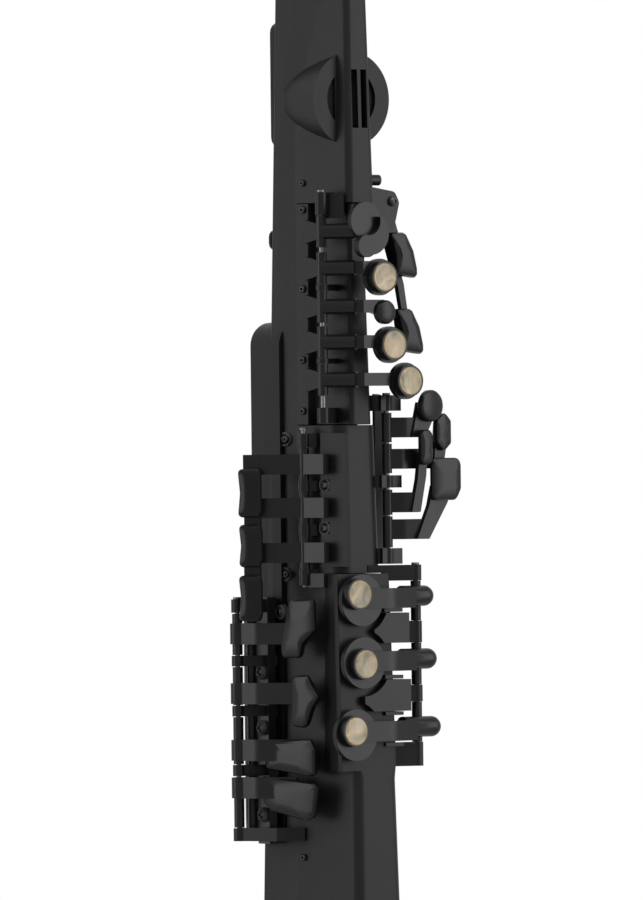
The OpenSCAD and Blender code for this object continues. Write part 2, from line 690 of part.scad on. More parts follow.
// The palm keys' bracket with its pin, and the small knob beside it.
module palm_bracket() {
    difference() {
        union() {
            translate([0, -24.2, 0]) rotate([90, 0, 0]) linear_extrude(4)
                polygon(rounded([[4, 612], [24, 611.4], [28.4, 628], [25, 634.4], [9, 637],
                    [4, 637]], [0.5, 3, 4, 4, 2, 0.5]));
            front_plate([[4, 622], [22, 622], [27, 628.5], [22, 635], [4, 636]], -11.4, 3);
            // The knob that trims the palm keys stands on the side of the spine.
            translate([5, -22, 641.4]) rotate([0, 90, 0]) cylinder(r = 3.3, h = 12.4, $fn = 24);
        }
        upper_outside();
        along_y(palm_pin_r + rod_seat, -40, 0, palm_pin.x, palm_pin.y);
    }
}

// The cover on the left of the middle section, with slots for two stop screws.
cover_slots = [459, 433.2];
module side_cover() color([0.14, 0.14, 0.15]) difference() {
    translate([0, 0, mid_z + 4]) linear_extrude(bed_z - mid_z - 9)
        polygon([[-14.6, -27.6], [-11.6, -27], [-8, -20], [-12, -10.4], [-19.8, -10.4],
                [-18.9, -14]]);
    envelope(mid_z, bed_z, mid_recess, mid_corner_r);
    for (z = cover_slots)
        translate([-24, -17, z - 3.4]) cube([9, 9, 6.8]);
}
function at_side(z, y) = [-side_half(z, y), y, z];
module side_screw(z, y, r) {
    lean = atan2(back_half(z) - front_half(z), 2 * half_depth(z));
    translate(at_side(z, y)) rotate([0, 0, 180 + lean]) rotate([0, 90, 0])
        translate([0, 0, 0.08]) difference() {
            rotate_extrude($fn = 24)
                polygon([[0, 0], [r, 0], [r, 0.8], [r * 0.86, 1.3], [r * 0.5, 1.6], [0, 1.6]]);
            cylinder(r = r * 0.42, h = 4, center = true, $fn = 6);
        }
}
module screws() color([0.10, 0.10, 0.11]) {
    for (z = [624, 576.6, 534, 503.4])
        side_screw(z, 4.4, 2.3);
    for (z = cover_slots)
        side_screw(z, -12.6, 2.6);
    for (z = [486.6, 405.6])
        side_screw(z, 17, 2);
    for (z = [640, 480, 330, 236, 160])
        side_screw(z, 4.4, 2);
}

// Bell: a collar that turns the housing's outline into a circle, then the flare.
collar_r = 38;
collar_z = 78;
ring_n = 48;
function smooth(t) = t * t * (3 - 2 * t);
function ring_about(r) = [for (i = [0:ring_n - 1])
    let (a = 225 - 41.25 + 7.5 * i) [r * cos(a), r * sin(a)]];
function foot_ring(z, r, inset) =
    let (y0 = -half_depth(z), y1 = half_depth(z),
        x0 = front_half(z) - inset, x1 = back_half(z) - inset)
    rounded([[-x0, y0 + inset], [x0, y0 + inset], [x1, y1 - inset], [-x1, y1 - inset]],
        [r, r, back_corner_r - inset, back_corner_r - inset], 11);
function blended(a, b, t) = [for (i = [0:len(a) - 1]) mix(a[i], b[i], t)];
function collar_rings(inset) = [for (t = [0, 0.2, 0.4, 0.6, 0.8, 1])
    raised(blended(ring_about(collar_r - inset), foot_ring(foot_z, foot_corner_r - inset, inset),
        smooth(t)), mix(collar_z, foot_z - touch_gap, t))];
// A hollow solid whose skin runs up through the outer rings and down through the inner ones.
module sleeve(outer, inner) {
    rings = concat(outer, [for (k = [len(inner) - 1:-1:0]) inner[k]]);
    n = len(rings[0]);
    m = len(rings);
    polyhedron([for (ring = rings) each ring], [for (k = [0:m - 1], i = [0:n - 1])
        let (j = (i + 1) % n, up = (k + 1) % m) each [
            [k * n + i, up * n + j, k * n + j],
            [k * n + i, up * n + i, up * n + j]]]);
}
module bell_collar() color([0.12, 0.12, 0.13]) sleeve(collar_rings(0), collar_rings(wall));
function flare(z) = collar_r + (bell_r - collar_r) * pow((collar_z - z) / collar_z, 2.2);
throat_z = 30;
function mouth(z) = throat_r + (bell_r - bell_wall - throat_r) * pow((throat_z - z) / throat_z, 2);
module bell() color([0.12, 0.12, 0.13]) rotate([0, 0, 3.75]) rotate_extrude() polygon([
    for (z = [0:6.5:collar_z]) [flare(z), z],
    [collar_r - wall, collar_z], [collar_r - wall, throat_z + throat_h + 4],
    [0, throat_z + throat_h + 4], [0, throat_z + throat_h], [throat_r, throat_z + throat_h],
    for (z = [throat_z:-3:0]) [mouth(z), z]]);

// Neck: the housing's outline swept round a bend and drawn in to a circle.
neck_tube_r = 12.5;
neck_run = 16;
neck_z = top_z + 6;
function swept(points, a, along = 0) = [for (p = points) [
    p.x,
    neck_bend_r * (1 - cos(a)) + along * sin(a) + p.y * cos(a),
    neck_z + neck_bend_r * sin(a) + along * cos(a) - p.y * sin(a)]];
function neck_section(t, inset) =
    blended(foot_ring(top_z, spine_r - inset, inset), ring_about(neck_tube_r - inset), smooth(t));
module neck_solid(inset, over) {
    steps = 10;
    loft([
        raised(foot_ring(top_z, spine_r - inset, inset), top_z + touch_gap - over),
        for (k = [0:steps])
            swept(neck_section(k / steps, inset), neck_lean * k / steps),
        swept(neck_section(1, inset), neck_lean, neck_run - (inset > 0 ? 3 : 0))]);
}
module at_neck_end() {
    translate([0, neck_bend_r * (1 - cos(neck_lean)) + neck_run * sin(neck_lean),
        neck_z + neck_bend_r * sin(neck_lean) + neck_run * cos(neck_lean)])
        rotate([-neck_lean, 0, 0]) children();
}
module neck() color([0.12, 0.12, 0.13]) difference() {
    neck_solid(0, 0);
    neck_solid(wall, 2);
    at_neck_end() translate([0, 0, -5]) cylinder(r = cork_r + 0.02, h = 8);
}
cork_depth = 10;
cork_out = 34;
breath_r = 4;
module neck_cork() color([0.68, 0.52, 0.36]) at_neck_end() difference() {
    union() {
        translate([0, 0, -cork_depth]) cylinder(r = neck_tube_r - wall - 0.05, h = cork_depth - 3.05);
        translate([0, 0, -3.2]) cylinder(r = cork_r, h = cork_out + 3.2);
    }
    translate([0, 0, -cork_depth - 1]) cylinder(r = breath_r, h = cork_depth + cork_out + 2);
}

// Mouthpiece, its reed on the lower side, and the ligature that clamps it.
shank_z = 5;
shank_r = 13.2;
table_y = 8.6;
tip_z = 90;
module mouthpiece() color([0.09, 0.09, 0.10]) at_neck_end() translate([0, 0, shank_z])
difference() {
    intersection() {
        rotate_extrude() polygon([[0, 0], [13.6, 0], [14, 1], [14, 5], [13.4, 6.4], [12.6, 8],
            [shank_r, 24], [shank_r, tip_z], [0, tip_z]]);
        rotate([0, 90, 0]) rotate([0, 0, 90]) linear_extrude(40, center = true)
            polygon([[-15, -1], [15, -1], [15, 20], [table_y, 20], [table_y, 58],
                [table_y - 1.3, tip_z], [table_y - 2.6, tip_z], [0.5, 78], [-9, 58], [-15, 47]]);
        rotate([90, 0, 0]) linear_extrude(40, center = true)
            polygon([[-15, -1], [15, -1], [15, 40], [8.4, tip_z - 3], [5, tip_z], [-5, tip_z],
                [-8.4, tip_z - 3], [-15, 40]]);
    }
    translate([0, 0, -1]) cylinder(r = cork_r + 0.02, h = 36);
    translate([0, 0, 30]) cylinder(r = 5.4, h = 30);
    translate([-4.7, 0.4, 56]) rotate([-5, 0, 0]) cube([9.4, 12, 26]);
}
module reed() color([0.80, 0.69, 0.44]) at_neck_end() translate([0, 0, shank_z]) {
    gap = 0.02;
    intersection() {
        translate([0, 0, 22]) cylinder(r = shank_r, h = 66);
        rotate([0, 90, 0]) rotate([0, 0, 90]) linear_extrude(40, center = true)
            polygon([[table_y + gap, 21], [15, 21], [15, 52], [table_y + 0.9, 80],
                [table_y + 0.45, 88], [table_y + gap, 88]]);
        rotate([90, 0, 0]) linear_extrude(40, center = true)
            polygon([[-6.2, 21], [6.2, 21], [7.6, 84], [5, 88], [-5, 88], [-7.6, 84]]);
    }
}
module ligature() color([0.60, 0.50, 0.28]) at_neck_end() translate([0, 0, shank_z]) {
    difference() {
        union() {
            translate([0, 0, 29]) cylinder(r = 14.5, h = 19);
            translate([-3.4, -19, 29]) cube([6.8, 8, 19]);
        }
        translate([0, 0, 28]) cylinder(r = shank_r + 0.03, h = 21);
        translate([-0.7, -20, 28]) cube([1.4, 12, 21]);
    }
    for (z = [33, 44])
        translate([-8, -17, z]) rotate([0, 90, 0]) cylinder(r = 1.4, h = 12.4);
    for (z = [33, 44])
        translate([-11, -17, z]) rotate([0, 90, 0]) cylinder(r = 3, h = 7);
}

// Rear of the housing: console, octave key, battery housing and carrying parts.
function rear_y(z) = half_depth(z);
console_back = 31.5;
console_half = 24;
function console_ring(cut) = rounded([[-console_half + cut, 662 + cut],
    [console_half - cut, 662 + cut], [console_half - cut, 737 - cut],
    [-console_half + cut, 737 - cut]], [1, 1, 1, 1] * (6 - cut), 4);
button_spots = [[-9, 677], [9, 677]];
button_r = 3.4;
window_w = 27;
window_h = 24;
window_z = 708;
module rear_console() color([0.12, 0.12, 0.13]) difference() {
    translate([0, 22, 0]) rotate([0, 0, 180]) rotate([90, 0, 0]) loft([
        raised(console_ring(0), 0),
        raised(console_ring(0), console_back - 24),
        raised(console_ring(2.2), console_back - 22)]);
    rear_outside();
    translate([-window_w / 2, console_back - 1.2, window_z - window_h / 2])
        cube([window_w, 4, window_h]);
    for (spot = button_spots)
        along_y(button_r + 0.15, console_back - 2.6, console_back + 1, spot.x, spot.y);
}
module display_window() color([0.05, 0.06, 0.07])
    translate([-window_w / 2 + 0.05, console_back - 1.18, window_z - window_h / 2 + 0.05])
        cube([window_w - 0.1, 1.1, window_h - 0.1]);
module menu_button(i) color([0.30, 0.30, 0.32]) {
    spot = button_spots[i];
    translate([spot.x, console_back - 1.5, spot.y]) rotate([-90, 0, 0])
        rotate_extrude() polygon([[0, 0], [button_r, 0], [button_r, 2.4], [button_r - 0.7, 3],
            [0, 3.1]]);
}
module menu_down() { menu_button(0); }
module menu_up() { menu_button(1); }

octave_rod = [9, 33.6];
module octave_posts() {
    difference() {
        for (span = [[596, 600.4], [612.6, 617]])
            post(octave_rod, span[0], span[1], [9, rear_y(617) - 1], 5);
        standing(octave_rod, rod_r + rod_seat, 590, 620);
    }
}
module octave_key() color([0.15, 0.15, 0.16]) on_rod(octave_rod, 606.5) {
    key_tube(octave_rod, 600.4, 612.6);
    bar([octave_rod, [0, 34.2], [-19.6, 33.4]], 3, 606.5, 11);
    translate([0, 34, 0]) facing([-11, 0], 606.5, 180)
        touch([[-10.5, -6], [10.5, -6], [10.5, 6], [-10.5, 6]], [4, 4, 4, 4], 3.4, 0.8);
}
module thumb_rest() color([0.10, 0.10, 0.11]) difference() {
    translate([-8, 24, 591]) facing([0, 0], 0, 180)
        touch([[-12, -5], [12, -5], [12, 5], [-12, 5]], [4, 4, 4, 4], 10, 1.2);
    rear_outside();
}

pack_z0 = 242;
pack_z1 = 557;
pack_half = 27;
pack_back = 50;
pack_corner = 14;
door_half = 18;
door_z0 = 248;
door_z1 = 424;
door_t = 2.2;
door_bevel = 1.2;
module pack_outline(inset) {
    polygon(rounded([[-pack_half + inset, pack_z0 + inset], [pack_half - inset, pack_z0 + inset],
        [pack_half - inset, pack_z1 - inset], [-pack_half + inset, pack_z1 - inset]],
        [1, 1, 1, 1] * (pack_corner - inset), 8));
}
module door_prism(z0, z1, grow) {
    inner = door_half + door_bevel + grow;
    outer = door_half + grow;
    translate([0, 0, z0]) linear_extrude(z1 - z0)
        polygon([[-inner, pack_back - door_t - grow], [inner, pack_back - door_t - grow],
            [outer, pack_back + 0.01 + grow / 20], [-outer, pack_back + 0.01 + grow / 20]]);
}
module battery_housing() color([0.12, 0.12, 0.13]) difference() {
    translate([0, 20, 0]) rotate([0, 0, 180]) rotate([90, 0, 0]) loft([
        for (step = [[0, 0], [pack_back - 22, 0], [pack_back - 20.6, 0.6], [pack_back - 20, 2]])
            raised(rounded([[-pack_half + step[1], pack_z0 + step[1]],
                [pack_half - step[1], pack_z0 + step[1]],
                [pack_half - step[1], pack_z1 - step[1]],
                [-pack_half + step[1], pack_z1 - step[1]]],
                [1, 1, 1, 1] * (pack_corner - step[1]), 8), step[0])]);
    rear_outside();
    translate([0, pack_back - 5, 0]) rotate([90, 0, 0]) linear_extrude(40)
        difference() {
            pack_outline(wall);
            translate([-40, 452]) square([80, 9]);
        }
    door_prism(pack_z0 - 20, door_z1 + 0.25, 0.2);
    translate([-14, pack_back - 8, 282]) cube([28, 6, 122]);
}
module battery_door() color([0.13, 0.13, 0.14]) difference() {
    door_prism(door_z0, door_z1, 0);
    for (i = [0:4])
        translate([-9, pack_back - 0.7, 262 + i * 3.4]) cube([18, 2, 1.6]);
}
module battery_pack() color([0.20, 0.22, 0.30]) {
    translate([-15, rear_y(283) + 0.1, 283]) cube([30, 7, 121]);
    translate([-6, rear_y(283) + 0.1, 404]) cube([12, 5, 4]);
}

// Thumb hook and strap ring on the battery housing's upper part.
hook_z = 470;
module thumb_hook() color([0.16, 0.16, 0.17]) {
    translate([0, pack_back + 0.05, 0]) rotate([0, 0, 180]) rotate([90, 0, 0])
        linear_extrude(2.2) difference() {
            polygon(rounded([[-9, hook_z - 19], [9, hook_z - 19], [9, hook_z + 19],
                [-9, hook_z + 19]], [5, 5, 5, 5]));
            translate([0, hook_z + 13]) circle(r = 1.9);
            translate([0, hook_z - 13]) circle(r = 1.9);
        }
    translate([8, 0, 0]) rotate([0, -90, 0]) linear_extrude(16)
        polygon([[hook_z + 3, pack_back + 1], [hook_z + 8, pack_back + 1],
            [hook_z + 9, pack_back + 12], [hook_z + 6, pack_back + 22],
            [hook_z - 2, pack_back + 29], [hook_z - 10, pack_back + 31],
            [hook_z - 11, pack_back + 28.4], [hook_z - 3, pack_back + 25.6],
            [hook_z + 2.4, pack_back + 19.6], [hook_z + 4.4, pack_back + 11]]);
}
ring_z = 526;
ring_hole_r = 6;
module strap_ring() color([0.62, 0.56, 0.40]) difference() {
    union() {
        translate([0, pack_back + 0.05, ring_z]) rotate([-90, 0, 0]) cylinder(r = 8, h = 1.8);
        translate([-1.6, pack_back + 9, ring_z]) rotate([0, 90, 0])
            cylinder(r = ring_hole_r + 2.6, h = 3.2);
    }
    translate([-4, pack_back + 9, ring_z]) rotate([0, 90, 0]) cylinder(r = ring_hole_r, h = 8);
}

// Sockets in a panel low on the rear, under the battery housing.
phones_z = 214;
dc_z = 198;
usb_z = 178;
panel_back = 42.6;
module socket_holes() {
    along_y(4.2, 20, 60, 0, phones_z);
    along_y(4.8, 20, 60, 0, dc_z);
    translate([-6.1, 20, usb_z - 5.6]) cube([12.2, 40, 11.2]);
}
module socket_panel() difference() {
    translate([0, panel_back, 0]) rotate([90, 0, 0]) linear_extrude(6)
        polygon(rounded([[-13, 160], [13, 160], [13, 228], [-13, 228]], [4, 4, 4, 4]));
    envelope(foot_z - 1, pack_z0, 0, foot_corner_r, 1);
    socket_holes();
}
phones_r = 1.8;
phones_depth = 14;
dc_depth = 9;
module sockets() {
    face = panel_back - 0.4;
    color([0.66, 0.67, 0.70]) difference() {
        along_y(4.15, face - phones_depth, face, 0, phones_z);
        along_y(phones_r, face - phones_depth - 1, face + 1, 0, phones_z);
    }
    color([0.20, 0.20, 0.21]) difference() {
        along_y(4.75, face - dc_depth - 2, face, 0, dc_z);
        difference() {
            along_y(2.8, face - dc_depth, face + 1, 0, dc_z);
            along_y(1, face - dc_depth - 1, face + 1, 0, dc_z);
        }
    }
    color([0.70, 0.71, 0.74]) difference() {
        translate([-6.05, face - 12, usb_z - 5.55]) cube([12.1, 12, 11.1]);
        translate([-4.2, face - 10, usb_z - 3.9]) cube([8.4, 12, 7.8]);
    }
}

// Inside: the speaker behind its opening and the main board on the rear shell's bosses.
board_y = 13;
board_spots = [[-7, 440], [7, 440], [-7, 600], [7, 600]];
module speaker_unit() color([0.22, 0.22, 0.23]) translate([0, 0, speaker_z]) {
    seat = speaker_face_y + wall + 0.05;
    difference() {
        translate([0, seat + 12, 0]) rotate([90, 0, 0]) rotate_extrude()
            polygon([[0, 0], [9, 0], [9, 6], [20, 9.4], [24, 10.4], [24, 12], [21, 12], [18, 10.6],
                [7, 6.4], [6.4, 7.2], [3.5, 8.4], [0, 8.8]]);
    }
}
module main_board() color([0.10, 0.30, 0.18]) {
    translate([-10, board_y, 430]) cube([20, 1.6, 180]);
    translate([-5, board_y - 1.4, 500]) cube([10, 1.45, 10]);
    translate([-4, board_y - 1.2, 540]) cube([8, 1.25, 14]);
    translate([-6, board_y - 4, 580]) cube([12, 4.05, 8]);
}

module b_pearl() { pearl(b_key_at.x, b_key_at.y, upper_base_y); }
module a_pearl() { pearl(a_key_at.x, a_key_at.y, upper_base_y); }
module g_pearl() { pearl(g_key_at.x, g_key_at.y, upper_base_y); }
function stack_base(cup) = cup_back(cup.y) - cup_h + 0.01;
module f_pearl() { pearl(f_pearl_at.x, f_pearl_at.y, stack_base(f_cup)); }
module e_pearl() { pearl(e_pearl_at.x, e_pearl_at.y, stack_base(e_cup)); }
module d_pearl() { pearl(d_pearl_at.x, d_pearl_at.y, stack_base(d_cup)); }

upper_front();
key_bed();
middle_front();
lower_front();
rear_shell();
side_cover();
bell_collar();
bell();
neck();
neck_cork();
mouthpiece();
reed();
ligature();
screws();
hinge_rods();
upper_posts();
middle_posts();
lower_posts();
front_f_key();
b_key();
b_pearl();
bis_key();
a_key();
a_pearl();
g_key();
g_pearl();
f_key();
f_pearl();
e_key();
e_pearl();
d_key();
d_pearl();
table_1();
table_2();
table_3();
table_4();
side_1();
side_2();
side_3();
pinky_1();
pinky_2();
pinky_3();
pinky_4();
palm_1();
palm_2();
rear_console();
display_window();
menu_down();
menu_up();
octave_key();
thumb_rest();
battery_housing();
battery_door();
battery_pack();
thumb_hook();
strap_ring();
sockets();
speaker_unit();
main_board();
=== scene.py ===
"""The digital wind controller's visual model, laid out as an add-on and run as a script.

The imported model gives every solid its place. The operators below give each one its finish,
round its edges, and lay the finer pieces over it.
"""

import math

import bmesh
import bpy
import numpy as np
from mathutils import Matrix, Vector
from mathutils.bvhtree import BVHTree


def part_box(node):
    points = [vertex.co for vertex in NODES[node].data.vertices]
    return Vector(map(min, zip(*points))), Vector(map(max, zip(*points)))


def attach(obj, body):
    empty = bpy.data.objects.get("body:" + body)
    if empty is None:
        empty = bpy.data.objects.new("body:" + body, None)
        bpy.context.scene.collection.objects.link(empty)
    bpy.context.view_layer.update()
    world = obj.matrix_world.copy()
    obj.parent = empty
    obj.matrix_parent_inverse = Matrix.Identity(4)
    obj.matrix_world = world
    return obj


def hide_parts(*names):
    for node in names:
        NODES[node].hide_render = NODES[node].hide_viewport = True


bl_info = {
    "name": "Digital wind controller",
    "version": (1, 0, 0),
    "blender": (4, 5, 0),
    "location": "3D View > Sidebar > Wind controller",
    "description": "Finishes and finer pieces for the digital wind controller",
    "category": "Object",
}

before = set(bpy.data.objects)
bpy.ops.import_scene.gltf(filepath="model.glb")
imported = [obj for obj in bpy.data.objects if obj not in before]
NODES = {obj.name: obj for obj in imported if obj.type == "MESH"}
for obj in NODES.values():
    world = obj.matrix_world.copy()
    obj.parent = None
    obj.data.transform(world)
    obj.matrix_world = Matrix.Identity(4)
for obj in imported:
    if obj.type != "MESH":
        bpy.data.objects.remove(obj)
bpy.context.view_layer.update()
WHITE = (1, 1, 1, 1)


# Shader maths


class Socket:
    """An output socket of a shader tree, with the maths operators it needs."""

    def __init__(self, tree, output):
        self.tree = tree
        self.output = output

    def _math(self, operation, *terms):
        node = self.tree.node("ShaderNodeMath", {"operation": operation}, *terms)
        return node.out(0)

    def __add__(self, other):
        return self._math("ADD", self, other)

    def __sub__(self, other):
        return self._math("SUBTRACT", self, other)

    def __rsub__(self, other):
        return self._math("SUBTRACT", other, self)

    def __mul__(self, other):
        return self._math("MULTIPLY", self, other)

    def __truediv__(self, other):
        return self._math("DIVIDE", self, other)

    __radd__ = __add__
    __rmul__ = __mul__

    def above(self, limit):
        return self._math("GREATER_THAN", self, limit)

    def clamped(self):
        return self._math("MINIMUM", self._math("MAXIMUM", self, 0.0), 1.0)

    def sine(self):
        return self._math("SINE", self)


class Node:
    """A node of a shader tree, which hands out its output sockets."""

    def __init__(self, tree, node):
        self.tree = tree
        self.node = node

    def out(self, name):
        return Socket(self.tree, self.node.outputs[name])


class Tree:
    """A material's or a world's nodes, built from nothing."""

    def __init__(self, owner):
        owner.use_nodes = True
        self.tree = owner.node_tree
        self.tree.nodes.clear()

    def node(self, kind, settings=None, *values, **named):
        """Adds a node: its settings first, then the values or links of its sockets."""
        made = self.tree.nodes.new(kind)
        for name, value in (settings or {}).items():
            if name == "stops":
                ramp = made.color_ramp
                while len(ramp.elements) > 2:
                    ramp.elements.remove(ramp.elements[-1])
                while len(ramp.elements) < len(value):
                    ramp.elements.new(0.5)
                for element, (place, colour) in zip(ramp.elements, value):
                    element.position = place
                    element.color = rgba(colour)
            else:
                setattr(made, name, value)
        sockets = dict(enumerate(values))
        sockets.update({name.replace("_", " "): value for name, value in named.items()})
        for name, value in sockets.items():
            if isinstance(value, Node):
                value = value.out(0)
            if isinstance(value, Socket):
                self.tree.links.new(value.output, made.inputs[name])
            else:
                made.inputs[name].default_value = value
        return Node(self, made)

    def mix(self, amount, low, high):
        """The colour low * (1 - amount) + high * amount."""
        made = self.node("ShaderNodeMix", {"data_type": "RGBA"})
        for name, value in ((0, amount), (6, low), (7, high)):
            if isinstance(value, Socket):
                self.tree.links.new(value.output, made.node.inputs[name])
            else:
                made.node.inputs[name].default_value = (
                    value if name == 0 else rgba(value)
                )
        return made.out(2)

    def object_coords(self):
        return self.node("ShaderNodeTexCoord").out("Object")

    def mapped(self, scale, rotation=(0, 0, 0)):
        return self.node(
            "ShaderNodeMapping", None, self.object_coords(), Rotation=rotation, Scale=scale
        ).out(0)

    def noise(self, vector, scale, detail=3.0, roughness=0.5, distortion=0.0):
        return self.node(
            "ShaderNodeTexNoise",
            None,
            Vector=vector,
            Scale=scale,
            Detail=detail,
            Roughness=roughness,
            Distortion=distortion,
        ).out("Fac")

    def bump(self, height, strength, distance):
        return self.node(
            "ShaderNodeBump", None, Strength=strength, Distance=distance, Height=height
        ).out("Normal")

    def background_rays(self):
        """1 for the rays that show the white background, by sight, by gloss or through glass."""
        rays = self.node("ShaderNodeLightPath")
        return (
            rays.out("Is Camera Ray") + rays.out("Is Glossy Ray") + rays.out("Is Transmission Ray")
        ).clamped()

    def surface(self, shader):
        self.node("ShaderNodeOutputMaterial", None, Surface=shader)


def rgba(colour):
    """The colour with a full alpha where it has none."""
    return tuple(colour) if len(colour) == 4 else (*colour, 1.0)


def shaded(colour, share):
    """The colour times a share."""
    return [channel * share for channel in colour]


# Finishes

# How many times longer a metal's lines are along X, Y and Z
DRAWN = (1, 1, 30)
TURNED = (1, 1, 1)


def principled(tree, **values):
    return tree.node("ShaderNodeBsdfPrincipled", None, **values).out("BSDF")


def moulded(name, colour, roughness, grain=0.3, grain_scale=2400, mottle=0.1, shine=0.13):
    """Moulded plastic: a fine spark grain, and a slow mottle in its colour and its sheen.

    The colour runs from 1 - mottle to 1 + mottle times colour. The roughness moves by 0.08
    with the handling marks and by 0.1 with the grain.
    """
    material = bpy.data.materials.new(name)
    tree = Tree(material)
    coords = tree.object_coords()
    mottling = tree.noise(coords, 38, 4, 0.6)
    handled = tree.noise(tree.mapped(scale=(60, 60, 24)), 1.0, 3, 0.65, 0.8)
    grains = tree.noise(coords, grain_scale, 2, 0.6)
    dark, light = shaded(colour, 1 - mottle), shaded(colour, 1 + mottle)
    sheen = (handled - 0.5) * 0.08 + (grains - 0.5) * 0.1 + roughness
    tree.surface(
        principled(
            tree,
            Base_Color=tree.mix(mottling, dark, light),
            Roughness=sheen.clamped(),
            Specular_IOR_Level=shine,
            Normal=tree.bump(grains, grain, 0.00006),
        )
    )
    return material


def polished(name, colour, roughness, coat=0.0):
    """A smooth hard surface with faint handling marks in its gloss."""
    material = bpy.data.materials.new(name)
    tree = Tree(material)
    marks = tree.noise(tree.mapped(scale=(90, 90, 30)), 1.0, 5, 0.7, 1.2)
    swirl = tree.noise(tree.object_coords(), 900, 2, 0.5)
    tree.surface(
        principled(
            tree,
            Base_Color=tree.mix(marks, shaded(colour, 0.9), colour),
            Roughness=((marks - 0.45) * 0.2 + roughness).clamped(),
            Coat_Weight=coat,
            Normal=tree.bump(swirl, 0.04, 0.00003),
        )
    )
    return material


def metal(name, colour, roughness, along=DRAWN, dulled=0.25):
    """Drawn or turned metal: fine lines, as many times longer as along says, and dull patches."""
    material = bpy.data.materials.new(name)
    tree = Tree(material)
    lines = tree.noise(tree.mapped(scale=[2200 / a for a in along]), 1.0, 2, 0.5)
    patches = tree.noise(tree.object_coords(), 55, 4, 0.6)
    tree.surface(
        principled(
            tree,
            Base_Color=tree.mix(patches, shaded(colour, 1 - dulled), colour),
            Metallic=1.0,
            Roughness=((lines - 0.5) * 0.2 + (patches - 0.5) * 0.2 + roughness).clamped(),
            Normal=tree.bump(lines, 0.12, 0.00003),
        )
    )
    return material


def mother_of_pearl(name, tones, roughness, coat):
    """Layers of nacre: a broad cloudy drift, faint wavy bands and a fine fibre under a coat.

    The tone is picked from tones by drift * 1.1 + bands * 0.14 + fibre * 0.04 - 0.14.
    """
    material = bpy.data.materials.new(name)
    tree = Tree(material)
    drift = tree.noise(tree.mapped(scale=(95, 95, 65)), 1.0, 2, 0.5, 1.1)
    bands = tree.noise(tree.mapped(scale=(420, 420, 60), rotation=(0, 0.12, 0)), 1.0, 3, 0.6, 1.1)
    fibre = tree.noise(tree.mapped(scale=(2600, 2600, 240)), 1.0, 2, 0.5)
    blend = (drift * 1.1 + bands * 0.14 + fibre * 0.04 - 0.14).clamped()
    stops = list(zip((0.28, 0.42, 0.54, 0.68), tones))
    ramp = tree.node("ShaderNodeValToRGB", {"stops": stops}, blend).out("Color")
    tree.surface(
        principled(
            tree,
            Base_Color=ramp,
            Roughness=(bands * 0.16 + roughness).clamped(),
            Specular_IOR_Level=0.25,
            Coat_Weight=coat,
            Coat_Roughness=0.06,
            Normal=tree.bump(bands, 0.1, 0.0001),
        )
    )
    return material


def cork_bark(name, colour):
    """Cork: pale cells with dark flecks and pits."""
    material = bpy.data.materials.new(name)
    tree = Tree(material)
    cells = tree.node(
        "ShaderNodeTexVoronoi", None, Vector=tree.object_coords(), Scale=900.0
    ).out("Distance")
    flecks = tree.noise(tree.mapped(scale=(500, 500, 900)), 1.0, 3, 0.7)
    pits = ((flecks - 0.58) * 12).clamped()
    body = tree.mix(cells * 1.2, shaded(colour, 0.8), colour)
    tree.surface(
        principled(
            tree,
            Base_Color=tree.mix(pits, body, shaded(colour, 0.3)),
            Roughness=0.85,
            Normal=tree.bump(cells - pits, 0.5, 0.0002),
        )
    )
    return material


def cane(name, colour):
    """Reed cane: long fine fibres with darker vessels between them."""
    material = bpy.data.materials.new(name)
    tree = Tree(material)
    fibres = tree.noise(
        tree.mapped(scale=(2400, 160, 160), rotation=(math.radians(26), 0, 0)), 1.0, 3, 0.6
    )
    drift = tree.noise(tree.object_coords(), 60, 3, 0.6)
    tone = tree.mix(fibres, shaded(colour, 0.62), colour)
    tree.surface(
        principled(
            tree,
            Base_Color=tree.mix(drift * 0.35, tone, shaded(colour, 0.75)),
            Roughness=(fibres * 0.2 + 0.45).clamped(),
            Normal=tree.bump(fibres, 0.3, 0.00008),
        )
    )
    return material


def dark_window(name, colour, lines=9000, edge=0.86):
    """A smoked display window: smooth, glossy, with a faint cell grid below the surface.

    A line of the grid lies where the sine of lines times the place in metres is over edge.
    """
    material = bpy.data.materials.new(name)
    tree = Tree(material)
    across = tree.node("ShaderNodeSeparateXYZ", None, tree.object_coords())
    grid_x = ((across.out("X") * lines).sine() - edge).above(0.0)
    grid_z = ((across.out("Z") * lines).sine() - edge).above(0.0)
    grid = (grid_x + grid_z).clamped() * 0.5
    tree.surface(
        principled(
            tree,
            Base_Color=tree.mix(grid, colour, [c * 1.8 + 0.004 for c in colour]),
            Roughness=(grid * 0.1 + 0.08).clamped(),
            Coat_Weight=0.6,
            Coat_Roughness=0.04,
        )
    )
    return material


# Meshes and modifiers

# Lengths in metres
WELD_REACH = 2e-6
POLE_REACH = 1e-6
SPECK = 1e-7
# The angles between faces up to which they are joined, and over which an edge is eased or crisp
FLAT_DEGREES = 0.6
EASED_DEGREES = 32.0
CRISP_DEGREES = 34.0
EASE_STEPS = 2


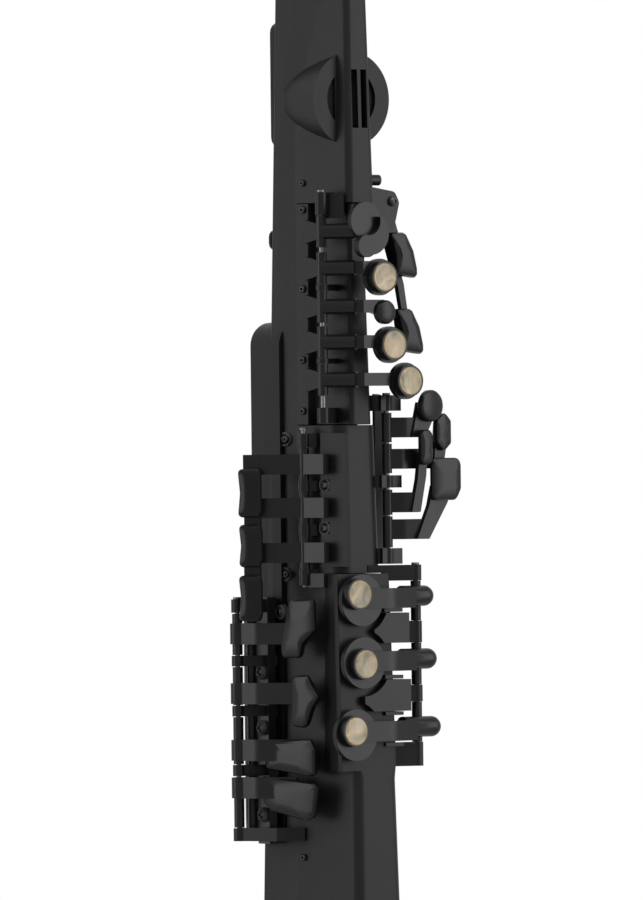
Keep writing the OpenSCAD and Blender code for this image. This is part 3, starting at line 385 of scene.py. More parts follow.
def smooth_by_angle(limit_degrees):
    """A node group that shades faces smooth and keeps edges sharper than the limit crisp."""
    name = f"smooth_by_{limit_degrees:g}"
    if name in bpy.data.node_groups:
        return bpy.data.node_groups[name]
    group = bpy.data.node_groups.new(name, "GeometryNodeTree")
    group.interface.new_socket("Geometry", in_out="INPUT", socket_type="NodeSocketGeometry")
    group.interface.new_socket("Geometry", in_out="OUTPUT", socket_type="NodeSocketGeometry")
    make, link = group.nodes.new, group.links.new
    start, end = make("NodeGroupInput"), make("NodeGroupOutput")
    faces, edges = make("GeometryNodeSetShadeSmooth"), make("GeometryNodeSetShadeSmooth")
    edges.domain = "EDGE"
    edges.inputs["Shade Smooth"].default_value = False
    angle, sharp = make("GeometryNodeInputMeshEdgeAngle"), make("FunctionNodeCompare")
    sharp.operation = "GREATER_THAN"
    sharp.inputs[1].default_value = math.radians(limit_degrees)
    link(start.outputs[0], faces.inputs["Geometry"])
    link(faces.outputs[0], edges.inputs["Geometry"])
    link(angle.outputs["Unsigned Angle"], sharp.inputs[0])
    link(sharp.outputs[0], edges.inputs["Selection"])
    link(edges.outputs[0], end.inputs[0])
    return group


def eased_edges(piece, width, weld=True):
    """Joins loose triangles, rounds the sharp edges by width, and shades large faces flat."""
    if weld:
        joined = piece.modifiers.new("join", "WELD")
        joined.merge_threshold = WELD_REACH
        flat = piece.modifiers.new("flat", "DECIMATE")
        flat.decimate_type = "DISSOLVE"
        flat.angle_limit = math.radians(FLAT_DEGREES)
    if width > 0:
        bevel = piece.modifiers.new("ease", "BEVEL")
        bevel.width = width
        bevel.segments = EASE_STEPS
        bevel.limit_method = "ANGLE"
        bevel.angle_limit = math.radians(EASED_DEGREES)
        bevel.use_clamp_overlap = True
    shade = piece.modifiers.new("shade", "NODES")
    shade.node_group = smooth_by_angle(CRISP_DEGREES)
    level = piece.modifiers.new("level", "WEIGHTED_NORMAL")
    level.keep_sharp = True


def dress(node, material):
    """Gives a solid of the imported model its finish."""
    piece = NODES[node]
    piece.data.materials.clear()
    piece.data.materials.append(material)
    return piece


def surface_piece(name, grid, material, wrap_u=False, wrap_v=False):
    """A mesh through a grid of points; wrap_u and wrap_v join its far sides.

    grid[i, j] is the point at step i of the first parameter and j of the second. Faces run
    over all neighbours, and their outward side is first parameter x second parameter.
    """
    rows, cols = grid.shape[:2]
    i = np.arange(rows if wrap_u else rows - 1)
    j = np.arange(cols if wrap_v else cols - 1)
    i, j = (a.ravel() for a in np.meshgrid(i, j, indexing="ij"))
    i1, j1 = (i + 1) % rows, (j + 1) % cols
    faces = np.stack([i * cols + j, i1 * cols + j, i1 * cols + j1, i * cols + j1], axis=1)
    mesh = bpy.data.meshes.new(name)
    mesh.from_pydata(grid.reshape(-1, 3).tolist(), [], faces.tolist())
    mesh.validate()
    mesh.update()
    mesh.materials.append(material)
    mesh.shade_smooth()
    piece = bpy.data.objects.new(name, mesh)
    bpy.context.scene.collection.objects.link(piece)
    return piece


def full_turn(steps):
    """Angles of one full turn, without the last one, which is the first one again."""
    return np.linspace(0, 2 * np.pi, steps, endpoint=False)


def rings(radius, height, steps):
    """Rings of points about the Y axis, with the height towards -Y.

    The point at angle a is (radius cos a, -height, radius sin a). Each row of radius and height
    is a ring, with one value for all its angles or one for each.
    """
    turn = full_turn(steps)
    return np.stack(
        np.broadcast_arrays(radius * np.cos(turn), -height, radius * np.sin(turn)), axis=-1
    )


def revolved(profile, steps=64):
    """A profile of (radius, height) pairs turned about the Y axis."""
    profile = np.asarray(profile, float)
    return rings(profile[:, :1], profile[:, 1:], steps)


def capped(grid):
    """The grid with its first and last rings drawn together to their middles, so it closes."""
    ends = [
        np.broadcast_to(ring.mean(axis=1, keepdims=True), ring.shape)
        for ring in (grid[:1], grid[-1:])
    ]
    return np.concatenate([ends[0], grid, ends[1]])


def close_poles(piece):
    """Merges the points of a pole and turns every face outwards."""
    mesh = bmesh.new()
    mesh.from_mesh(piece.data)
    bmesh.ops.remove_doubles(mesh, verts=mesh.verts, dist=POLE_REACH)
    bmesh.ops.dissolve_degenerate(mesh, dist=SPECK, edges=mesh.edges)
    bmesh.ops.recalc_face_normals(mesh, faces=mesh.faces)
    mesh.to_mesh(piece.data)
    mesh.free()
    return piece


def disc_place(node):
    """A round node's middle, its radius, and the Y of its front and its back."""
    low, high = (np.array(corner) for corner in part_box(node))
    return (low + high) / 2, (high[0] - low[0]) / 2, low[1], high[1]


# The stage

# The photograph's size, the column of the bell's axis in it, and the height at its upper edge
FRAME_PX = (643, 900)
AXIS_PX = 336.0
TOP_Z = 0.750
SENSOR_MM = 36.0
CLIP_END = 50.0
FLOOR_REACH = 4.0

# Each box's place across, towards the camera and up from the target, its width and height, and
# its share of the side light's power
SOFT_BOXES = {
    "left_box": (-1.8, 0.55, 0.25, 0.9, 1.8, 0.8),
    "right_box": (1.8, 0.55, 0.35, 0.9, 1.8, 1.0),
    "top_box": (0.5, 0.9, 1.7, 1.4, 1.4, 1.1),
}


class StageSizes(bpy.types.PropertyGroup):
    azimuth: bpy.props.FloatProperty(
        name="Azimuth", description="Viewing side of the photograph", default=-37.0
    )
    distance: bpy.props.FloatProperty(
        name="Distance", description="Camera to object", default=8.0, unit="LENGTH"
    )
    pixel: bpy.props.FloatProperty(
        name="Pixel", description="Size of a pixel at the object", default=0.0006, unit="LENGTH"
    )
    roll: bpy.props.FloatProperty(
        name="Roll", description="Turn of the camera about its view", default=-0.64
    )
    side_light: bpy.props.FloatProperty(
        name="Side light", description="Power of the two side soft boxes", default=26.0
    )
    ambient: bpy.props.FloatProperty(
        name="Ambient", description="Strength of the room's light", default=0.42
    )


def soft_box(name, place, aim, width, height, power):
    """A rectangular lamp at place that points at aim."""
    light = bpy.data.lights.new(name, "AREA")
    light.shape = "RECTANGLE"
    light.size, light.size_y = width, height
    light.energy = power
    lamp = bpy.data.objects.new(name, light)
    bpy.context.scene.collection.objects.link(lamp)
    lamp.location = place
    lamp.rotation_euler = (aim - place).to_track_quat("-Z", "Y").to_euler()


def paper_sweep(name, near, far):
    """White paper that keeps the shadow near the object and turns plain white further out.

    The share of plain white is (r - near) / (far - near), where r is the distance from the
    middle of the floor.
    """
    material = bpy.data.materials.new(name)
    tree = Tree(material)
    fibre = tree.noise(tree.object_coords(), 300, 3, 0.6)
    paper = principled(
        tree, Base_Color=tree.mix(fibre, (0.86, 0.86, 0.86), (0.9, 0.9, 0.9)), Roughness=0.8
    )
    length = tree.node("ShaderNodeVectorMath", {"operation": "LENGTH"}, tree.object_coords())
    share = ((length.out("Value") - near) / (far - near)).clamped()
    seen = tree.background_rays()
    white = tree.node("ShaderNodeEmission", None, Color=WHITE, Strength=1.0)
    tree.surface(tree.node("ShaderNodeMixShader", None, share * seen, paper, white))
    return material


class WIND_OT_stage(bpy.types.Operator):
    """Makes the camera of the photograph, the soft boxes, the white room and the floor

    The camera's lens is sensor * distance / (height of the frame at the object).
    """

    bl_idname = "wind.stage"
    bl_label = "Stage"

    def execute(self, context):
        sizes = context.scene.wind_stage
        turn = math.radians(sizes.azimuth)
        away = Vector((math.sin(turn), -math.cos(turn), 0))
        right = Vector((math.cos(turn), math.sin(turn), 0))
        middle_z = TOP_Z - sizes.pixel * FRAME_PX[1] / 2
        offset_px = AXIS_PX - FRAME_PX[0] / 2
        target = right * (-offset_px * sizes.pixel) + Vector((0, 0, middle_z))
        camera_data = bpy.data.cameras.new("camera")
        camera_data.sensor_width = SENSOR_MM
        camera_data.lens = SENSOR_MM * sizes.distance / (FRAME_PX[1] * sizes.pixel)
        camera_data.clip_end = CLIP_END
        camera = bpy.data.objects.new("camera", camera_data)
        context.scene.collection.objects.link(camera)
        look = (-away).to_track_quat("-Z", "Y").to_matrix().to_4x4()
        roll = Matrix.Rotation(math.radians(sizes.roll), 4, "Z")
        camera.matrix_world = Matrix.Translation(target + away * sizes.distance) @ look @ roll
        context.scene.camera = camera

        for name, (across, near, rise, width, height, share) in SOFT_BOXES.items():
            place = target + right * across + away * near + Vector((0, 0, rise))
            soft_box(name, place, target, width, height, sizes.side_light * share)

        world = bpy.data.worlds.new("room")
        context.scene.world = world
        tree = Tree(world)
        seen = tree.background_rays()
        white = tree.node("ShaderNodeBackground", None, Color=WHITE, Strength=1.0)
        room = tree.node("ShaderNodeBackground", None, Color=WHITE, Strength=sizes.ambient)
        mixed = tree.node("ShaderNodeMixShader", None, seen, room, white)
        tree.node("ShaderNodeOutputWorld", None, Surface=mixed)

        span = np.linspace(-FLOOR_REACH, FLOOR_REACH, 3)
        xs, ys = np.meshgrid(span, span, indexing="ij")
        grid = np.stack([xs, ys, xs * 0], axis=-1)
        floor = surface_piece("floor", grid, paper_sweep("paper_floor", near=0.3, far=1.3))
        context.scene.view_settings.view_transform = "Standard"
        return {"FINISHED"}


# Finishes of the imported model's solids


class Finishes(bpy.types.PropertyGroup):
    shell: bpy.props.FloatVectorProperty(
        name="Housing", description="Colour of the housing", subtype="COLOR",
        default=(0.0062, 0.0062, 0.0068),
    )
    key: bpy.props.FloatVectorProperty(
        name="Keys", description="Colour of the keys", subtype="COLOR",
        default=(0.0050, 0.0050, 0.0055),
    )
    shell_roughness: bpy.props.FloatProperty(
        name="Housing roughness", description="Sheen of the housing", default=0.42,
        subtype="FACTOR",
    )
    key_roughness: bpy.props.FloatProperty(
        name="Key roughness", description="Sheen of the keys", default=0.3, subtype="FACTOR"
    )
    ease: bpy.props.FloatProperty(
        name="Eased edges", description="Width of the rounding on moulded edges",
        default=0.0006, unit="LENGTH",
    )


# The width of the eased edges on the posts and on the keys, as a share of the housing's
POST_EASE = 0.6
KEY_EASE = 0.8

HOUSING = (
    "upper_front", "key_bed", "middle_front", "lower_front", "rear_shell", "side_cover",
    "bell_collar", "bell", "neck", "rear_console", "battery_housing", "battery_door",
)
POSTS = ("upper_posts", "middle_posts", "lower_posts", "thumb_hook")
KEYS = (
    "front_f_key", "b_key", "bis_key", "a_key", "g_key", "f_key", "e_key", "d_key",
    "table_1", "table_2", "table_3", "table_4", "side_1", "side_2", "side_3",
    "pinky_1", "pinky_2", "pinky_3", "pinky_4", "palm_1", "palm_2", "octave_key",
)


class WIND_OT_housing(bpy.types.Operator):
    """Gives the housing, bell and neck their satin black and eases their edges"""

    bl_idname = "wind.housing"
    bl_label = "Housing"

    def execute(self, context):
        finish = context.scene.wind_finishes
        shell = moulded("housing_black", finish.shell, finish.shell_roughness)
        post = moulded("post_black", finish.shell, finish.key_roughness, grain=0.2)
        for node in HOUSING:
            eased_edges(dress(node, shell), finish.ease)
        for node in POSTS:
            eased_edges(dress(node, post), finish.ease * POST_EASE)
        return {"FINISHED"}


class WIND_OT_keys(bpy.types.Operator):
    """Gives the keys their satin black and eases their edges"""

    bl_idname = "wind.keys"
    bl_label = "Keys"

    def execute(self, context):
        finish = context.scene.wind_finishes
        key = moulded("key_black", finish.key, finish.key_roughness, grain=0.16, shine=0.16)
        for node in KEYS:
            eased_edges(dress(node, key), finish.ease * KEY_EASE)
        return {"FINISHED"}


class WIND_OT_fittings(bpy.types.Operator):
    """Gives the rods, screws, neck fittings, sockets and inner pieces their finishes"""

    bl_idname = "wind.fittings"
    bl_label = "Fittings"

    def execute(self, context):
        steel = metal("rod_steel", (0.13, 0.13, 0.135), 0.4)
        screw = metal("screw_black", (0.035, 0.035, 0.038), 0.42, TURNED)
        cork = cork_bark("cork", (0.62, 0.42, 0.24))
        ebonite = polished("mouthpiece_black", (0.012, 0.012, 0.013), 0.14, coat=0.4)
        reed = cane("reed_cane", (0.78, 0.62, 0.34))
        brass = metal("ligature_brass", (0.80, 0.60, 0.27), 0.24, TURNED, dulled=0.12)
        window = dark_window("window", (0.006, 0.008, 0.010))
        ring = metal("ring_brass", (0.70, 0.55, 0.30), 0.3, TURNED)
        socket = metal("socket_metal", (0.50, 0.50, 0.52), 0.32, TURNED)
        cone = moulded("speaker_black", (0.02, 0.02, 0.02), 0.7, grain=0.5, grain_scale=1500)
        board = polished("board_green", (0.015, 0.10, 0.04), 0.35, coat=0.3)
        wrap = polished("battery_wrap", (0.03, 0.05, 0.14), 0.3, coat=0.2)
        button = moulded("button_grey", (0.09, 0.09, 0.095), 0.6)
        button_2 = moulded("button_grey_2", (0.09, 0.09, 0.095), 0.6)
        rubber = moulded("rubber_black", (0.02, 0.02, 0.02), 0.7, grain=0.5)
        # Each node's finish, and the width of its eased edges in metres
        finishes = {
            "hinge_rods": (steel, 0.00015),
            "screws": (screw, 0.00012),
            "neck_cork": (cork, 0.0003),
            "mouthpiece": (ebonite, 0.0003),
            "reed": (reed, 0.0001),
            "ligature": (brass, 0.0003),
            "display_window": (window, 0.0001),
            "strap_ring": (ring, 0.0004),
            "sockets": (socket, 0.0002),
            "speaker_unit": (cone, 0.0003),
            "main_board": (board, 0.0001),
            "battery_pack": (wrap, 0.0008),
            "menu_down": (button, 0.0002),
            "menu_up": (button_2, 0.0002),
            "thumb_rest": (rubber, 0.0005),
        }
        for node, (material, ease) in finishes.items():
            eased_edges(dress(node, material), ease)
        return {"FINISHED"}


# Speaker cloth

# Lengths in metres: the cloth's thickness, and its distance from the speaker unit's front
CLOTH_THICKNESS = 0.0003
CLOTH_GAP = 0.0002


class Cloth(bpy.types.PropertyGroup):
    radius: bpy.props.FloatProperty(
        name="Radius", description="Radius of the stretched cloth", default=0.0177, unit="LENGTH"
    )
    bulge: bpy.props.FloatProperty(
        name="Bulge", description="Rise of the cloth at its middle", default=0.0004, unit="LENGTH"
    )


def woven(name, colour, pitch=7800):
    """Black speaker cloth: threads crossing at right angles, one over the other.

    The threads stand out by sin(k x) * sin(k z) / 2 + 1 / 2, where k is pitch, in radians a metre.
    """
    material = bpy.data.materials.new(name)
    tree = Tree(material)
    across = tree.node("ShaderNodeSeparateXYZ", None, tree.object_coords())
    warp = (across.out("X") * pitch).sine()
    weft = (across.out("Z") * pitch).sine()
    threads = (warp * weft * 0.5 + 0.5).clamped()
    tree.surface(
        principled(
            tree,
            Base_Color=tree.mix(threads, shaded(colour, 0.4), colour),
            Roughness=(threads * 0.1 + 0.8).clamped(),
            Specular_IOR_Level=0.1,
            Normal=tree.bump(threads, 0.6, 0.0001),
        )
    )
    return material


class WIND_OT_cloth(bpy.types.Operator):
    """Stretches the cloth behind the speaker's opening

    Its height at share t of the radius is bulge * (1 - t squared).
    """

    bl_idname = "wind.cloth"
    bl_label = "Speaker cloth"

    def execute(self, context):
        sizes = context.scene.wind_cloth
        centre, _, front, _ = disc_place("speaker_unit")
        steps = np.linspace(0, 1, 10)
        profile = np.stack([steps * sizes.radius, sizes.bulge * (1 - steps**2)], axis=1)
        back = [[sizes.radius, -CLOTH_THICKNESS], [0, -CLOTH_THICKNESS]]
        profile = np.concatenate([profile, back])
        grid = revolved(profile) + np.array([centre[0], front - CLOTH_GAP, centre[2]])
        cloth = woven("cloth_black", (0.01, 0.01, 0.01))
        piece = surface_piece("speaker_cloth", grid, cloth, wrap_v=True)
        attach(close_poles(piece), "housing")
        return {"FINISHED"}


# Larger screws and their bosses

SCREW_WALLS = ("rear_shell", "battery_housing", "lower_posts", "middle_front", "side_cover")
# Each screw's place across the sight, its height, and the rise of its boss over the wall
SCREW_PLACES = (
    (-0.0340, 0.3830, 0.0016), (-0.0452, 0.3470, 0.0030), (-0.0452, 0.3136, 0.0030),
    (-0.0452, 0.2615, 0.0030), (-0.0302, 0.4866, 0.0016), (-0.0311, 0.4056, 0.0016),
    (-0.0064, 0.4590, 0.0016), (-0.0067, 0.4332, 0.0016),
)
PALM_PIN_END = (0.023, -0.0296, 0.6285)
FRONT = (0, -1, 0)
# Lengths in metres: where a line of sight starts, the seat under its boss's crest, the head's
# foot under its seat, and the socket's chamfer
OUTSIDE = 0.3
SEAT_DEPTH = 0.0008
SCREW_FOOT = 0.0004
SOCKET_CHAMFER = 0.00005
# The dome's power, its inner edge as a share of the socket's, the height of the socket's floor
# as a share of the dome's, and the width of the floor's smallest ring as a share of the socket's
DOME_POWER = 2.6
SHOULDER = 1.12
SOCKET_FLOOR = 0.35
POLE_SHARE = 0.02


class Screws(bpy.types.PropertyGroup):
    sight: bpy.props.FloatProperty(
        name="Sight", description="Side from which the screws are laid on the walls, in degrees",
        default=-37.0,
    )
    head: bpy.props.FloatProperty(
        name="Head", description="Radius of a screw's head", default=0.0030, unit="LENGTH"
    )
    dome: bpy.props.FloatProperty(
        name="Dome", description="Height of a screw's head", default=0.0017, unit="LENGTH"
    )
    socket: bpy.props.FloatProperty(
        name="Socket", description="Half the width across the socket's flats", default=0.0011,
        unit="LENGTH",
    )
    boss: bpy.props.FloatProperty(
        name="Boss", description="Radius of the moulded boss under a screw", default=0.0042,
        unit="LENGTH",
    )


def wall_at(nodes, start, way):
    """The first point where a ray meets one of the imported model's solids, and its outward side."""
    hits = []
    for node in nodes:
        mesh = NODES[node].data
        tree = BVHTree.FromPolygons(
            [vertex.co for vertex in mesh.vertices], [face.vertices for face in mesh.polygons]
        )
        point, normal, _, length = tree.ray_cast(Vector(start), Vector(way))
        if point is not None:
            hits.append((length, point, normal if normal.dot(Vector(way)) < 0 else -normal))
    _, point, normal = min(hits, key=lambda hit: hit[0])
    return np.array(point), np.array(normal)


def turned_to(axis, place, points):
    """Points about the Y axis, turned so that -Y points along axis, and moved to place."""
    turn = Vector(FRONT).rotation_difference(Vector(axis)).to_matrix()
    return points @ np.array(turn).T + np.asarray(place, float)


def socket_screw(name, place, axis, sizes, material):
    """A domed screw with a six-sided socket.

    The dome's height at radius r is dome * (1 - (r / head) ** 2.6). The socket's wall lies at
    socket / cos(a), where a is the angle to the nearest flat's middle, and its floor at 0.35
    of the dome.
    """

    def domed(radius):
        return sizes.dome * (1 - (radius / sizes.head) ** DOME_POWER)

    turn = full_turn(48)
    flat = sizes.socket / np.cos((turn + np.pi / 6) % (np.pi / 3) - np.pi / 6)
    shares = np.linspace(1.0, 0.0, 9)[:, None]
    dome = flat * SHOULDER + (sizes.head - flat * SHOULDER) * shares
    ring = np.ones((1, turn.size))
    wall = ring * flat
    radius = np.concatenate([ring * sizes.head, dome, wall, wall, wall * POLE_SHARE])
    floor = ring * sizes.dome * SOCKET_FLOOR
    height = np.concatenate(
        [-ring * SCREW_FOOT, domed(dome), domed(wall) - SOCKET_CHAMFER, floor, floor]
    )
    points = capped(turned_to(axis, place, rings(radius, height, turn.size)))
    piece = surface_piece(name, points, material, wrap_v=True)
    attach(close_poles(piece), "housing")
    eased_edges(piece, 0.0, weld=False)


def boss(name, place, axis, radius, rise, material):
    """A round moulded boss: a rounded rim and a shallow seat for the screw's head.

    The rim is half a circle of radius (radius - seat) / 2, with the seat 1.6 times that below
    its crest. The wall flares from 0.2 mm to 0.8 mm out, and its foot lies 2 mm deep.
    """
    seat = radius * 0.78
    rim = (radius - seat) / 2
    bend = np.linspace(0, np.pi, 9)
    foot = [[radius + 0.0008, -0.0020], [radius + 0.0002, rise * 0.4]]
    crest = np.stack([seat + rim + rim * np.cos(bend), rise - rim + rim * np.sin(bend)], axis=1)
    floor = [[seat * 0.98, rise - 1.6 * rim], [0, rise - 1.6 * rim]]
    profile = np.concatenate([foot, crest, floor])
    points = capped(turned_to(axis, place, revolved(profile, 48)))
    piece = surface_piece(name, points, material, wrap_v=True)
    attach(close_poles(piece), "housing")


class WIND_OT_screws(bpy.types.Operator):
    """Sets the larger screws on the housing's left side in their bosses, and the palm pin's screw

    Each screw lies where a line of sight of the photograph first meets a wall.
    """

    bl_idname = "wind.screws"
    bl_label = "Larger screws"

    def execute(self, context):
        sizes = context.scene.wind_screws
        steel = metal("rail_screw_black", (0.045, 0.045, 0.048), 0.38, TURNED)
        black = bpy.data.materials["post_black"]
        turn = math.radians(sizes.sight)
        across = np.array([math.cos(turn), math.sin(turn), 0])
        inward = np.array([-math.sin(turn), math.cos(turn), 0])
        for number, (aside, height, rise) in enumerate(SCREW_PLACES, 1):
            start = across * aside - inward * OUTSIDE + np.array([0, 0, height])
            wall, out = wall_at(SCREW_WALLS, start, inward)
            boss(f"rail_boss_{number}", wall, out, sizes.boss, rise, black)
            seat = wall + out * (rise - SEAT_DEPTH)
            socket_screw(f"rail_screw_{number}", seat, out, sizes, steel)
        socket_screw("palm_pin_screw", PALM_PIN_END, FRONT, sizes, steel)
        return {"FINISHED"}


# Crowns of the side keys' touches

# Each touch's middle in X and Z, and its height
TOUCHES = {
    "side_1": (-0.0520, 0.4546, 0.0290),
    "side_2": (-0.0516, 0.4230, 0.0255),
    "side_3": (-0.0520, 0.3916, 0.0275),
}
# Lengths in metres: the touches' foot in Y, the rim of touch left above and below a crown, the
# crown's place aside, the depth of its skirt, and how far its outer side is drawn in
TOUCH_Y = 0.017
TOUCH_MARGIN = 0.0009
CROWN_SHIFT = 0.0002
CROWN_SKIRT = 0.0012
WAIST = 0.0011


class Crowns(bpy.types.PropertyGroup):
    crown: bpy.props.FloatProperty(
        name="Crown", description="Rise of a touch's middle over its edge", default=0.0018,
        unit="LENGTH",
    )
    half_width: bpy.props.FloatProperty(
        name="Half width", description="Half the width of a crown", default=0.0065,
        unit="LENGTH",
    )
    turn: bpy.props.FloatProperty(
        name="Turn", description="Way the side touches face, in degrees about Z", default=-50.0
    )
    lift: bpy.props.FloatProperty(
        name="Lift", description="Height of a crown's edge over the touch's foot",
        default=0.0041, unit="LENGTH",
    )


def crown_cap(name, body, place, half_height, sizes, material):
    """A smooth cushion of hard plastic over a side key's touch.

    At shares a across and b along, the height is crown * (1 - |a| ** 2) * (1 - |b| ** 7), and
    the outline is a superellipse of power 6, drawn in by 1.1 mm on its outer side by a cosine.
    A skirt runs 1.2 mm down from the outline.
    """
    ring = full_turn(72)
    share = np.linspace(1.0, 0.0, 22)[:, None] ** 0.8
    reach = (np.abs(np.cos(ring)) ** 6 + np.abs(np.sin(ring)) ** 6) ** (-1 / 6)
    a, b = share * reach * np.cos(ring), share * reach * np.sin(ring)
    waist = np.where(a < 0, WAIST * np.cos(np.clip(b, -1, 1) * np.pi / 2) * -a, 0)
    height = sizes.crown * (1 - np.clip(np.abs(a), 0, 1) ** 2) * (
        1 - np.clip(np.abs(b), 0, 1) ** 7
    )
    across = a * sizes.half_width + waist + CROWN_SHIFT
    points = np.stack([across, -(sizes.lift + height), b * half_height], axis=-1)
    skirt = points[:1] + np.array([0, CROWN_SKIRT, 0])
    points = np.concatenate([skirt, points])
    angle = math.radians(sizes.turn)
    turn = np.array(
        [[math.cos(angle), -math.sin(angle), 0], [math.sin(angle), math.cos(angle), 0], [0, 0, 1]]
    )
    points = capped(points @ turn.T + np.array(place))
    piece = surface_piece(name, points, material, wrap_v=True)
    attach(close_poles(piece), body)
    eased_edges(piece, 0.0, weld=False)


class WIND_OT_crowns(bpy.types.Operator):
    """Lays a smooth crown over each side key's touch"""

    bl_idname = "wind.crowns"
    bl_label = "Side crowns"

    def execute(self, context):
        sizes = context.scene.wind_crowns
        finish = context.scene.wind_finishes
        black = moulded("touch_black", finish.key, 0.23, grain=0.06, shine=0.11)
        for body, (x, z, tall) in TOUCHES.items():
            half_height = tall / 2 - TOUCH_MARGIN
            crown_cap(f"{body}_crown", body, (x, TOUCH_Y, z), half_height, sizes, black)
        return {"FINISHED"}


# Ribs behind the key rails

# The powers of a rib's rounded ends and of its section, and the angle left out at each end
END_POWER = 24
ROUND_POWER = 0.4
END_GAP = 0.02


class Ribs(bpy.types.PropertyGroup):
    rise: bpy.props.FloatProperty(
        name="Rise", description="Height of a rib over the wall it stands on", default=0.0085,
        unit="LENGTH",
    )
    thick: bpy.props.FloatProperty(
        name="Thickness", description="Thickness of a rib at its foot", default=0.0036,
        unit="LENGTH",
    )
    taper: bpy.props.FloatProperty(
        name="Taper", description="Thickness of a rib's crest as a share of its foot's",
        default=0.7, subtype="FACTOR",
    )


def rail_rib(name, foot, out, span, sizes, rise, material):
    """A thin moulded rib that stands on a wall and runs along Z.

    At height t along the span its rise is rise * (1 - |2t - 1| ** 24) ** 0.4, so its ends are
    rounded. Across it, a superellipse of power 5 runs from the foot to the crest, and its
    half thickness falls from thick / 2 to taper times that. The heights are spaced by a cosine,
    closer at the ends.
    """
    out = np.array([*out, 0.0]) / np.hypot(*out)
    side = np.array([-out[1], out[0], 0.0])
    along = 0.5 - 0.5 * np.cos(np.linspace(END_GAP, np.pi - END_GAP, 60))
    round_off = (1 - np.abs(2 * along - 1) ** END_POWER) ** ROUND_POWER
    turn = np.linspace(-np.pi / 2, np.pi / 2, 25)
    reach = np.cos(turn) ** ROUND_POWER
    width = np.sign(turn) * np.abs(np.sin(turn)) ** ROUND_POWER
    half = sizes.thick / 2 * (1 - (1 - sizes.taper) * reach)
    points = (
        np.array([*foot, 0.0])
        + (rise * np.outer(round_off, reach))[..., None] * out
        + (np.ones_like(along)[:, None] * (half * width))[..., None] * side
        + (span[0] + (span[1] - span[0]) * along)[:, None, None] * np.array([0, 0, 1.0])
    )
    piece = surface_piece(name, capped(points), material, wrap_v=True)
    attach(close_poles(piece), "housing")
    eased_edges(piece, 0.0, weld=False)


class WIND_OT_ribs(bpy.types.Operator):
    """Stands the two dark ribs that close the view behind the table rail and the pinky rail"""

    bl_idname = "wind.ribs"
    bl_label = "Rail ribs"

    def execute(self, context):
        sizes = context.scene.wind_ribs
        black = bpy.data.materials["housing_black"]
        low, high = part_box("battery_housing")
        foot = (low[0] + 0.001, high[1] - 0.0035)
        span = (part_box("pinky_4")[0][2] - 0.008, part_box("pinky_1")[1][2] - 0.006)
        rail_rib("pinky_rail_rib", foot, (-1.0, 0.0), span, sizes, sizes.rise + 0.001, black)
        foot, out = (0.0225, -0.008), (1.0, -0.25)
        span = (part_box("table_4")[0][2] - 0.006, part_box("table_1")[1][2] - 0.002)
        rail_rib("table_rail_rib", foot, out, span, sizes, sizes.rise, black)
        return {"FINISHED"}


# Finger pearls

# The nacre's tones from the darkest to the lightest
NACRE = (
    (0.10, 0.088, 0.055), (0.18, 0.155, 0.10), (0.26, 0.195, 0.12), (0.32, 0.275, 0.19),
)
BEAD_DEPTH = 0.0002
PEARLS = {
    "b_pearl": "b_key", "a_pearl": "a_key", "g_pearl": "g_key",
    "f_pearl": "f_key", "e_pearl": "e_key", "d_pearl": "d_key",
}


class Pearls(bpy.types.PropertyGroup):
    dish: bpy.props.FloatProperty(
        name="Dish", description="Depth of the hollow in a pearl's face", default=0.0007,
        unit="LENGTH",
    )
    rim: bpy.props.FloatProperty(
        name="Rim", description="Rounding of a pearl's rim", default=0.0005, unit="LENGTH"
    )
    bezel: bpy.props.FloatProperty(
        name="Bezel", description="Width of the metal bead round a pearl", default=0.00045,
        unit="LENGTH",
    )


def pearl_disc(node, body, material, dish, rim):
    """A dished disc in its node's place.

    At share t of the face's radius the face lies dish * (1 - t squared) below its edge, and
    the rim is a quarter circle of radius rim.
    """
    centre, radius, front, back = disc_place(node)
    height = back - front
    across = np.linspace(0, 1, 18)
    face = np.stack([across * (radius - rim), height - dish * (1 - across**2)], axis=1)
    bend = np.linspace(0, np.pi / 2, 7)[1:]
    edge = np.stack(
        [radius - rim + rim * np.sin(bend), height - rim + rim * np.cos(bend)], axis=1
    )
    profile = np.concatenate([face, edge, [[radius, 0], [0, 0]]])
    grid = revolved(profile) + np.array([centre[0], back, centre[2]])
    piece = close_poles(surface_piece(f"{node}_disc", grid, material, wrap_v=True))
    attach(piece, body)
    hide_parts(node)


def pearl_bezel(node, body, material, width):
    """A fine bead of metal where a pearl meets its ring.

    The bead is a ring of round section, of radius width / 2, about the pearl's edge.
    """
    centre, radius, front, _ = disc_place(node)
    bend = full_turn(12)
    profile = np.stack([radius + width / 2 * np.cos(bend), width / 2 * np.sin(bend)], axis=1)
    grid = revolved(profile) + np.array([centre[0], front + BEAD_DEPTH, centre[2]])
    piece = close_poles(
        surface_piece(f"{node}_bezel", grid, material, wrap_u=True, wrap_v=True)
    )
    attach(piece, body)


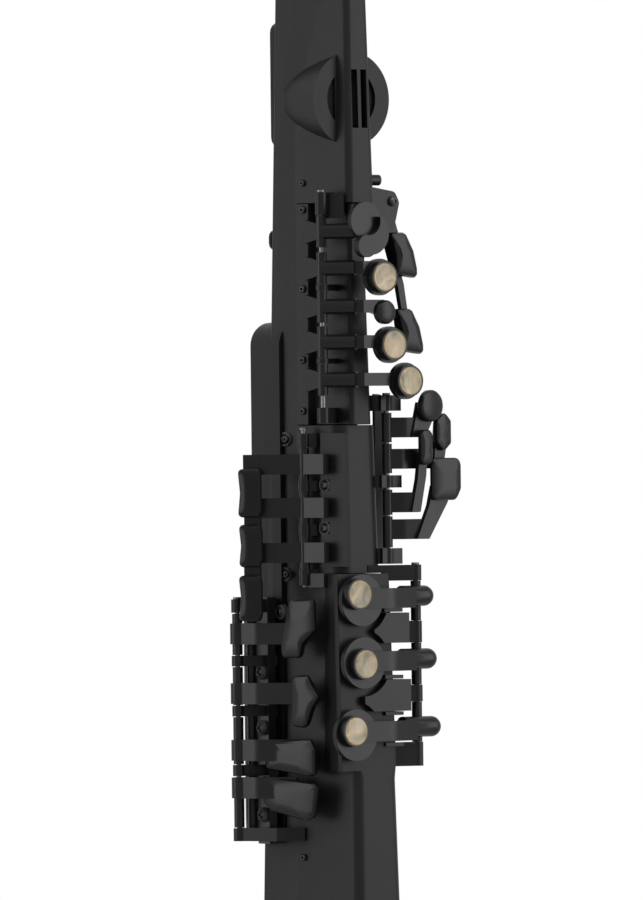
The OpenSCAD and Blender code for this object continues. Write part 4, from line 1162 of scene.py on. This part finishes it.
class WIND_OT_pearls(bpy.types.Operator):
    """Lays a dished mother-of-pearl disc and a fine metal bead in each key's ring"""

    bl_idname = "wind.pearls"
    bl_label = "Pearls"

    def execute(self, context):
        sizes = context.scene.wind_pearls
        nacre = mother_of_pearl("pearl", NACRE, 0.3, coat=0.12)
        brass = metal("bezel_brass", (0.20, 0.15, 0.085), 0.35, TURNED)
        for node, body in PEARLS.items():
            pearl_disc(node, body, nacre, sizes.dish, sizes.rim)
            pearl_bezel(node, body, brass, sizes.bezel)
        return {"FINISHED"}


# Panel, registration and the run

OPERATORS = (
    WIND_OT_stage, WIND_OT_housing, WIND_OT_keys, WIND_OT_fittings, WIND_OT_cloth,
    WIND_OT_screws, WIND_OT_crowns, WIND_OT_ribs, WIND_OT_pearls,
)
GROUPS = {
    "wind_stage": StageSizes, "wind_finishes": Finishes, "wind_cloth": Cloth,
    "wind_screws": Screws, "wind_crowns": Crowns, "wind_ribs": Ribs, "wind_pearls": Pearls,
}


class WIND_PT_panel(bpy.types.Panel):
    """Lists the steps and the sizes and colours that they use"""

    bl_idname = "WIND_PT_panel"
    bl_label = "Wind controller"
    bl_space_type = "VIEW_3D"
    bl_region_type = "UI"
    bl_category = "Wind controller"

    def draw(self, context):
        for operator in OPERATORS:
            self.layout.operator(operator.bl_idname)
        for name, group in GROUPS.items():
            box = self.layout.box()
            for field in group.__annotations__:
                box.prop(getattr(context.scene, name), field)


def register():
    for group in GROUPS.values():
        bpy.utils.register_class(group)
    for name, group in GROUPS.items():
        setattr(bpy.types.Scene, name, bpy.props.PointerProperty(type=group))
    for item in (*OPERATORS, WIND_PT_panel):
        bpy.utils.register_class(item)


def unregister():
    for item in (WIND_PT_panel, *reversed(OPERATORS)):
        bpy.utils.unregister_class(item)
    for name, group in GROUPS.items():
        delattr(bpy.types.Scene, name)
        bpy.utils.unregister_class(group)


def main():
    register()
    for operator in OPERATORS:
        group, name = operator.bl_idname.split(".")
        getattr(getattr(bpy.ops, group), name)()


if __name__ == "__main__":
    main()
